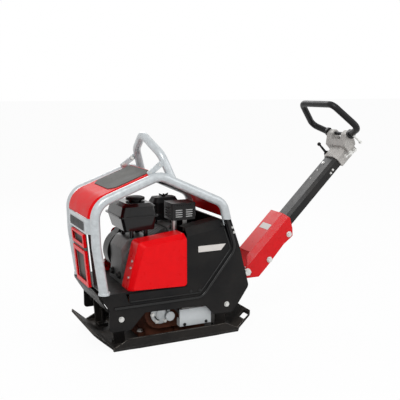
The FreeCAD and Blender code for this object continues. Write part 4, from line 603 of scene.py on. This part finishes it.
def makeBarTopScrews():
    v = barTopValues
    normal = onBar(0, 1, 0) - onBar(0, 0, 0)
    bm = bmesh.new()
    addHexBolt(bm, onBar(*v["screw"]), normal, 0.010, 0.005, 0.008)
    keepPiece("bar_top_screw", bm, "drawbar", [finishes["zinc"]])
    bm = bmesh.new()
    for s, radius in v["rivets"]:
        start = onBar(s, v["rivetLow"], v["side"])
        addRod(bm, start, start + normal * v["rivetDepth"], radius, 16)
    keepPiece("bar_top_rivets", bm, "drawbar", [finishes["steel"]])


bracketLabelValues = {
    "low": 0.210, "high": 0.240, "half": 0.038, "middle": -0.006, "lift": 0.0412, "thickness": 0.0005,
}


def makeBracketLabel():
    v = bracketLabelValues
    half = v["half"]
    outline = [(v["low"], -half), (v["high"], -half), (v["high"], half), (v["low"], half)]
    corners = [onBar(s, v["lift"], v["middle"] + y) for s, y in outline]
    normal = onBar(0, 1, 0) - onBar(0, 0, 0)
    bm = bmesh.new()
    addPolygon(bm, corners, normal * v["thickness"])
    keepPiece("bracket_label", bm, "drawbar", [labelFace])


linkValues = {"side": 0.0955, "top": (0.808, 0.049), "foot": (0.816, -0.010), "radius": 0.0042}


def makeTravelLinks():
    # a short zinc lever each side that turns with the loop
    v = linkValues
    for name, sign in (("travel_link_near", -1), ("travel_link_far", 1)):
        bm = bmesh.new()
        y = sign * v["side"]
        top, foot = onBar(*v["top"], y), onBar(*v["foot"], y)
        addRod(bm, top, foot, v["radius"])
        for place, size in ((top, 0.016), (foot, 0.011)):
            addHexBolt(bm, place - Vector((0, sign * 0.004, 0)), (0, sign, 0), size, 0.009, size * 0.72)
        keepPiece(name, bm, "travel_loop", [finishes["zinc"]])


linkageValues = {
    "places": [(0.752, -0.018), (0.776, -0.026), (0.722, -0.010)], "sizes": [0.016, 0.012, 0.011],
    "rodLift": 0.006, "rodRadius": 0.003,
}


def makeHeadLinkage():
    v = linkageValues
    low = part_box("handle_head")[0]
    bm = bmesh.new()
    for (s, h), size in zip(v["places"], v["sizes"]):
        addHexBolt(bm, onBar(s, h, low[1]), (0, -1, 0), size, 0.010, size * 0.75)
        addHexBolt(bm, onBar(s, h, -low[1]), (0, 1, 0), size, 0.007, size * 0.7)
    rodSide = low[1] - v["rodLift"]
    addRod(bm, onBar(*v["places"][2], rodSide), onBar(*v["places"][1], rodSide), v["rodRadius"])
    keepPiece("head_linkage", bm, "drawbar", [finishes["zinc"]])


coverSlotValues = {
    "centre": (-0.054, 0.108), "radius": 0.027, "width": 0.0045, "spans": [(15, 75), (195, 255)],
    "depth": 0.0006, "inset": 0.0122,
}


def makeExciterSlots():
    # dark curved slots let into the silver bearing cover
    v = coverSlotValues
    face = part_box("exciter_housing")[0][1] - v["inset"]
    x, z = v["centre"]
    bm = bmesh.new()
    for start, end in v["spans"]:
        a = math.radians(start)
        first = []
        for radius in (v["radius"] - v["width"] / 2, v["radius"] + v["width"] / 2):
            first.append(bm.verts.new((x + radius * math.cos(a), face, z + radius * math.sin(a))))
        edge = bm.edges.new(first)
        bmesh.ops.spin(
            bm, geom=[*first, edge], cent=(x, face, z), axis=(0, -1, 0), angle=math.radians(end - start),
            steps=12, use_merge=False)
    faces = list(bm.faces)
    bmesh.ops.solidify(bm, geom=faces, thickness=v["depth"])
    keepPiece("bearing_cover_slots", bm, "chassis", [darkSlot])


weldValues = {"radius": 0.0195, "bead": 0.0034, "legX": -0.309, "legSide": 0.178, "height": 0.2432}


def makeTubeWelds():
    # the fillet weld where each front leg meets its foot ring
    v = weldValues
    bm = bmesh.new()
    for y in (-v["legSide"], v["legSide"]):
        centre = Vector((v["legX"], y, v["height"]))
        outside = Matrix.Translation(centre + Vector((v["radius"], 0, 0)))
        upright = outside @ Matrix.Rotation(math.pi / 2, 4, "X")
        ring = bmesh.ops.create_circle(bm, segments=8, radius=v["bead"], matrix=upright)["verts"]
        edges = list({e for p in ring for e in p.link_edges})
        bmesh.ops.spin(
            bm, geom=[*ring, *edges], cent=centre, axis=(0, 0, 1), angle=math.pi * 2, steps=36,
            use_merge=True)
    keepPiece("tube_foot_welds", bm, "chassis", [finishes["frame_silver"]], True)


makeNamePlate()
makeBadge()
makeCoverRidge("cover_ridge_near", -1)
makeTankPanels()
makeShield()
makeSmallBolts()
makeBarTopScrews()
makeBracketLabel()
makeTravelLinks()
makeHeadLinkage()
makeExciterSlots()
makeTubeWelds()
print("small fittings made")


cameraValues = {"place": (-1.0843, -2.6853, 1.0311), "yaw": 25.394, "pitch": 9.151, "lens": 61.73}
stageValues = {"floorSize": 60.0, "white": 0.86, "worldLevel": 0.50, "veil": 0.95}


def seenDirectly(tree):
    # 1 for camera, glossy and transmission rays
    path = addNode(tree, "ShaderNodeLightPath")
    first = mathNode(tree, "MAXIMUM", path.outputs["Is Camera Ray"], path.outputs["Is Glossy Ray"])
    return mathNode(tree, "MAXIMUM", first, path.outputs["Is Transmission Ray"])


def makeFloor():
    bm = bmesh.new()
    bmesh.ops.create_grid(bm, x_segments=1, y_segments=1, size=stageValues["floorSize"])
    mesh = bpy.data.meshes.new("studioFloor")
    bm.to_mesh(mesh)
    bm.free()
    floor = bpy.data.objects.new("studioFloor", mesh)
    bpy.context.collection.objects.link(floor)
    material = bpy.data.materials.new("paleFloor")
    material.use_nodes = True
    tree = material.node_tree
    shader = tree.nodes["Principled BSDF"]
    shader.inputs["Base Color"].default_value = (stageValues["white"],) * 3 + (1.0,)
    shader.inputs["Roughness"].default_value = 0.9
    shader.inputs["Specular IOR Level"].default_value = 0.0
    glow = addNode(tree, "ShaderNodeEmission")
    glow.inputs["Strength"].default_value = 1.0
    mix = addNode(tree, "ShaderNodeMixShader")
    link(tree, mathNode(tree, "MULTIPLY", seenDirectly(tree), stageValues["veil"]), mix.inputs[0])
    link(tree, shader.outputs[0], mix.inputs[1])
    link(tree, glow.outputs[0], mix.inputs[2])
    link(tree, mix.outputs[0], tree.nodes["Material Output"].inputs["Surface"])
    mesh.materials.append(material)


def makeWorld():
    world = bpy.data.worlds.new("studioWorld")
    world.use_nodes = True
    bpy.context.scene.world = world
    tree = world.node_tree
    soft = tree.nodes["Background"]
    soft.inputs["Color"].default_value = (0.97, 0.985, 1.0, 1.0)
    soft.inputs["Strength"].default_value = stageValues["worldLevel"]
    white = addNode(tree, "ShaderNodeBackground")
    white.inputs["Color"].default_value = (1.0, 1.0, 1.0, 1.0)
    white.inputs["Strength"].default_value = 1.0
    mix = addNode(tree, "ShaderNodeMixShader")
    link(tree, seenDirectly(tree), mix.inputs[0])
    link(tree, soft.outputs[0], mix.inputs[1])
    link(tree, white.outputs[0], mix.inputs[2])
    link(tree, mix.outputs[0], tree.nodes["World Output"].inputs["Surface"])


lampRows = [
    {"name": "keyLamp", "place": (-1.6, -2.6, 3.4), "aim": (0.1, 0.0, 0.4), "size": 2.2, "power": 84.0},
    {"name": "fillLamp", "place": (2.8, -2.6, 2.0), "aim": (0.3, 0.0, 0.4), "size": 2.4, "power": 28.0},
    {"name": "backLamp", "place": (0.6, 2.8, 2.6), "aim": (0.1, 0.0, 0.5), "size": 2.2, "power": 34.0},
]


def makeLamps():
    for row in lampRows:
        data = bpy.data.lights.new(row["name"], "AREA")
        data.shape = "DISK"
        data.size = row["size"]
        data.energy = row["power"]
        lamp = bpy.data.objects.new(row["name"], data)
        lamp.location = row["place"]
        aim = Vector(row["aim"]) - Vector(row["place"])
        lamp.rotation_euler = aim.to_track_quat("-Z", "Y").to_euler()
        bpy.context.collection.objects.link(lamp)


def makeCamera():
    data = bpy.data.cameras.new("studioCamera")
    data.lens = cameraValues["lens"]
    data.sensor_width = 36.0
    data.dof.use_dof = False
    data.clip_end = 200.0
    camera = bpy.data.objects.new("studioCamera", data)
    camera.location = cameraValues["place"]
    tilt = math.radians(90.0 - cameraValues["pitch"])
    camera.rotation_euler = (tilt, 0.0, math.radians(-cameraValues["yaw"]))
    bpy.context.collection.objects.link(camera)
    bpy.context.scene.camera = camera


makeFloor()
makeWorld()
makeLamps()
makeCamera()
bpy.context.scene.view_settings.view_transform = "Standard"
print("stage, lamps and camera ready")
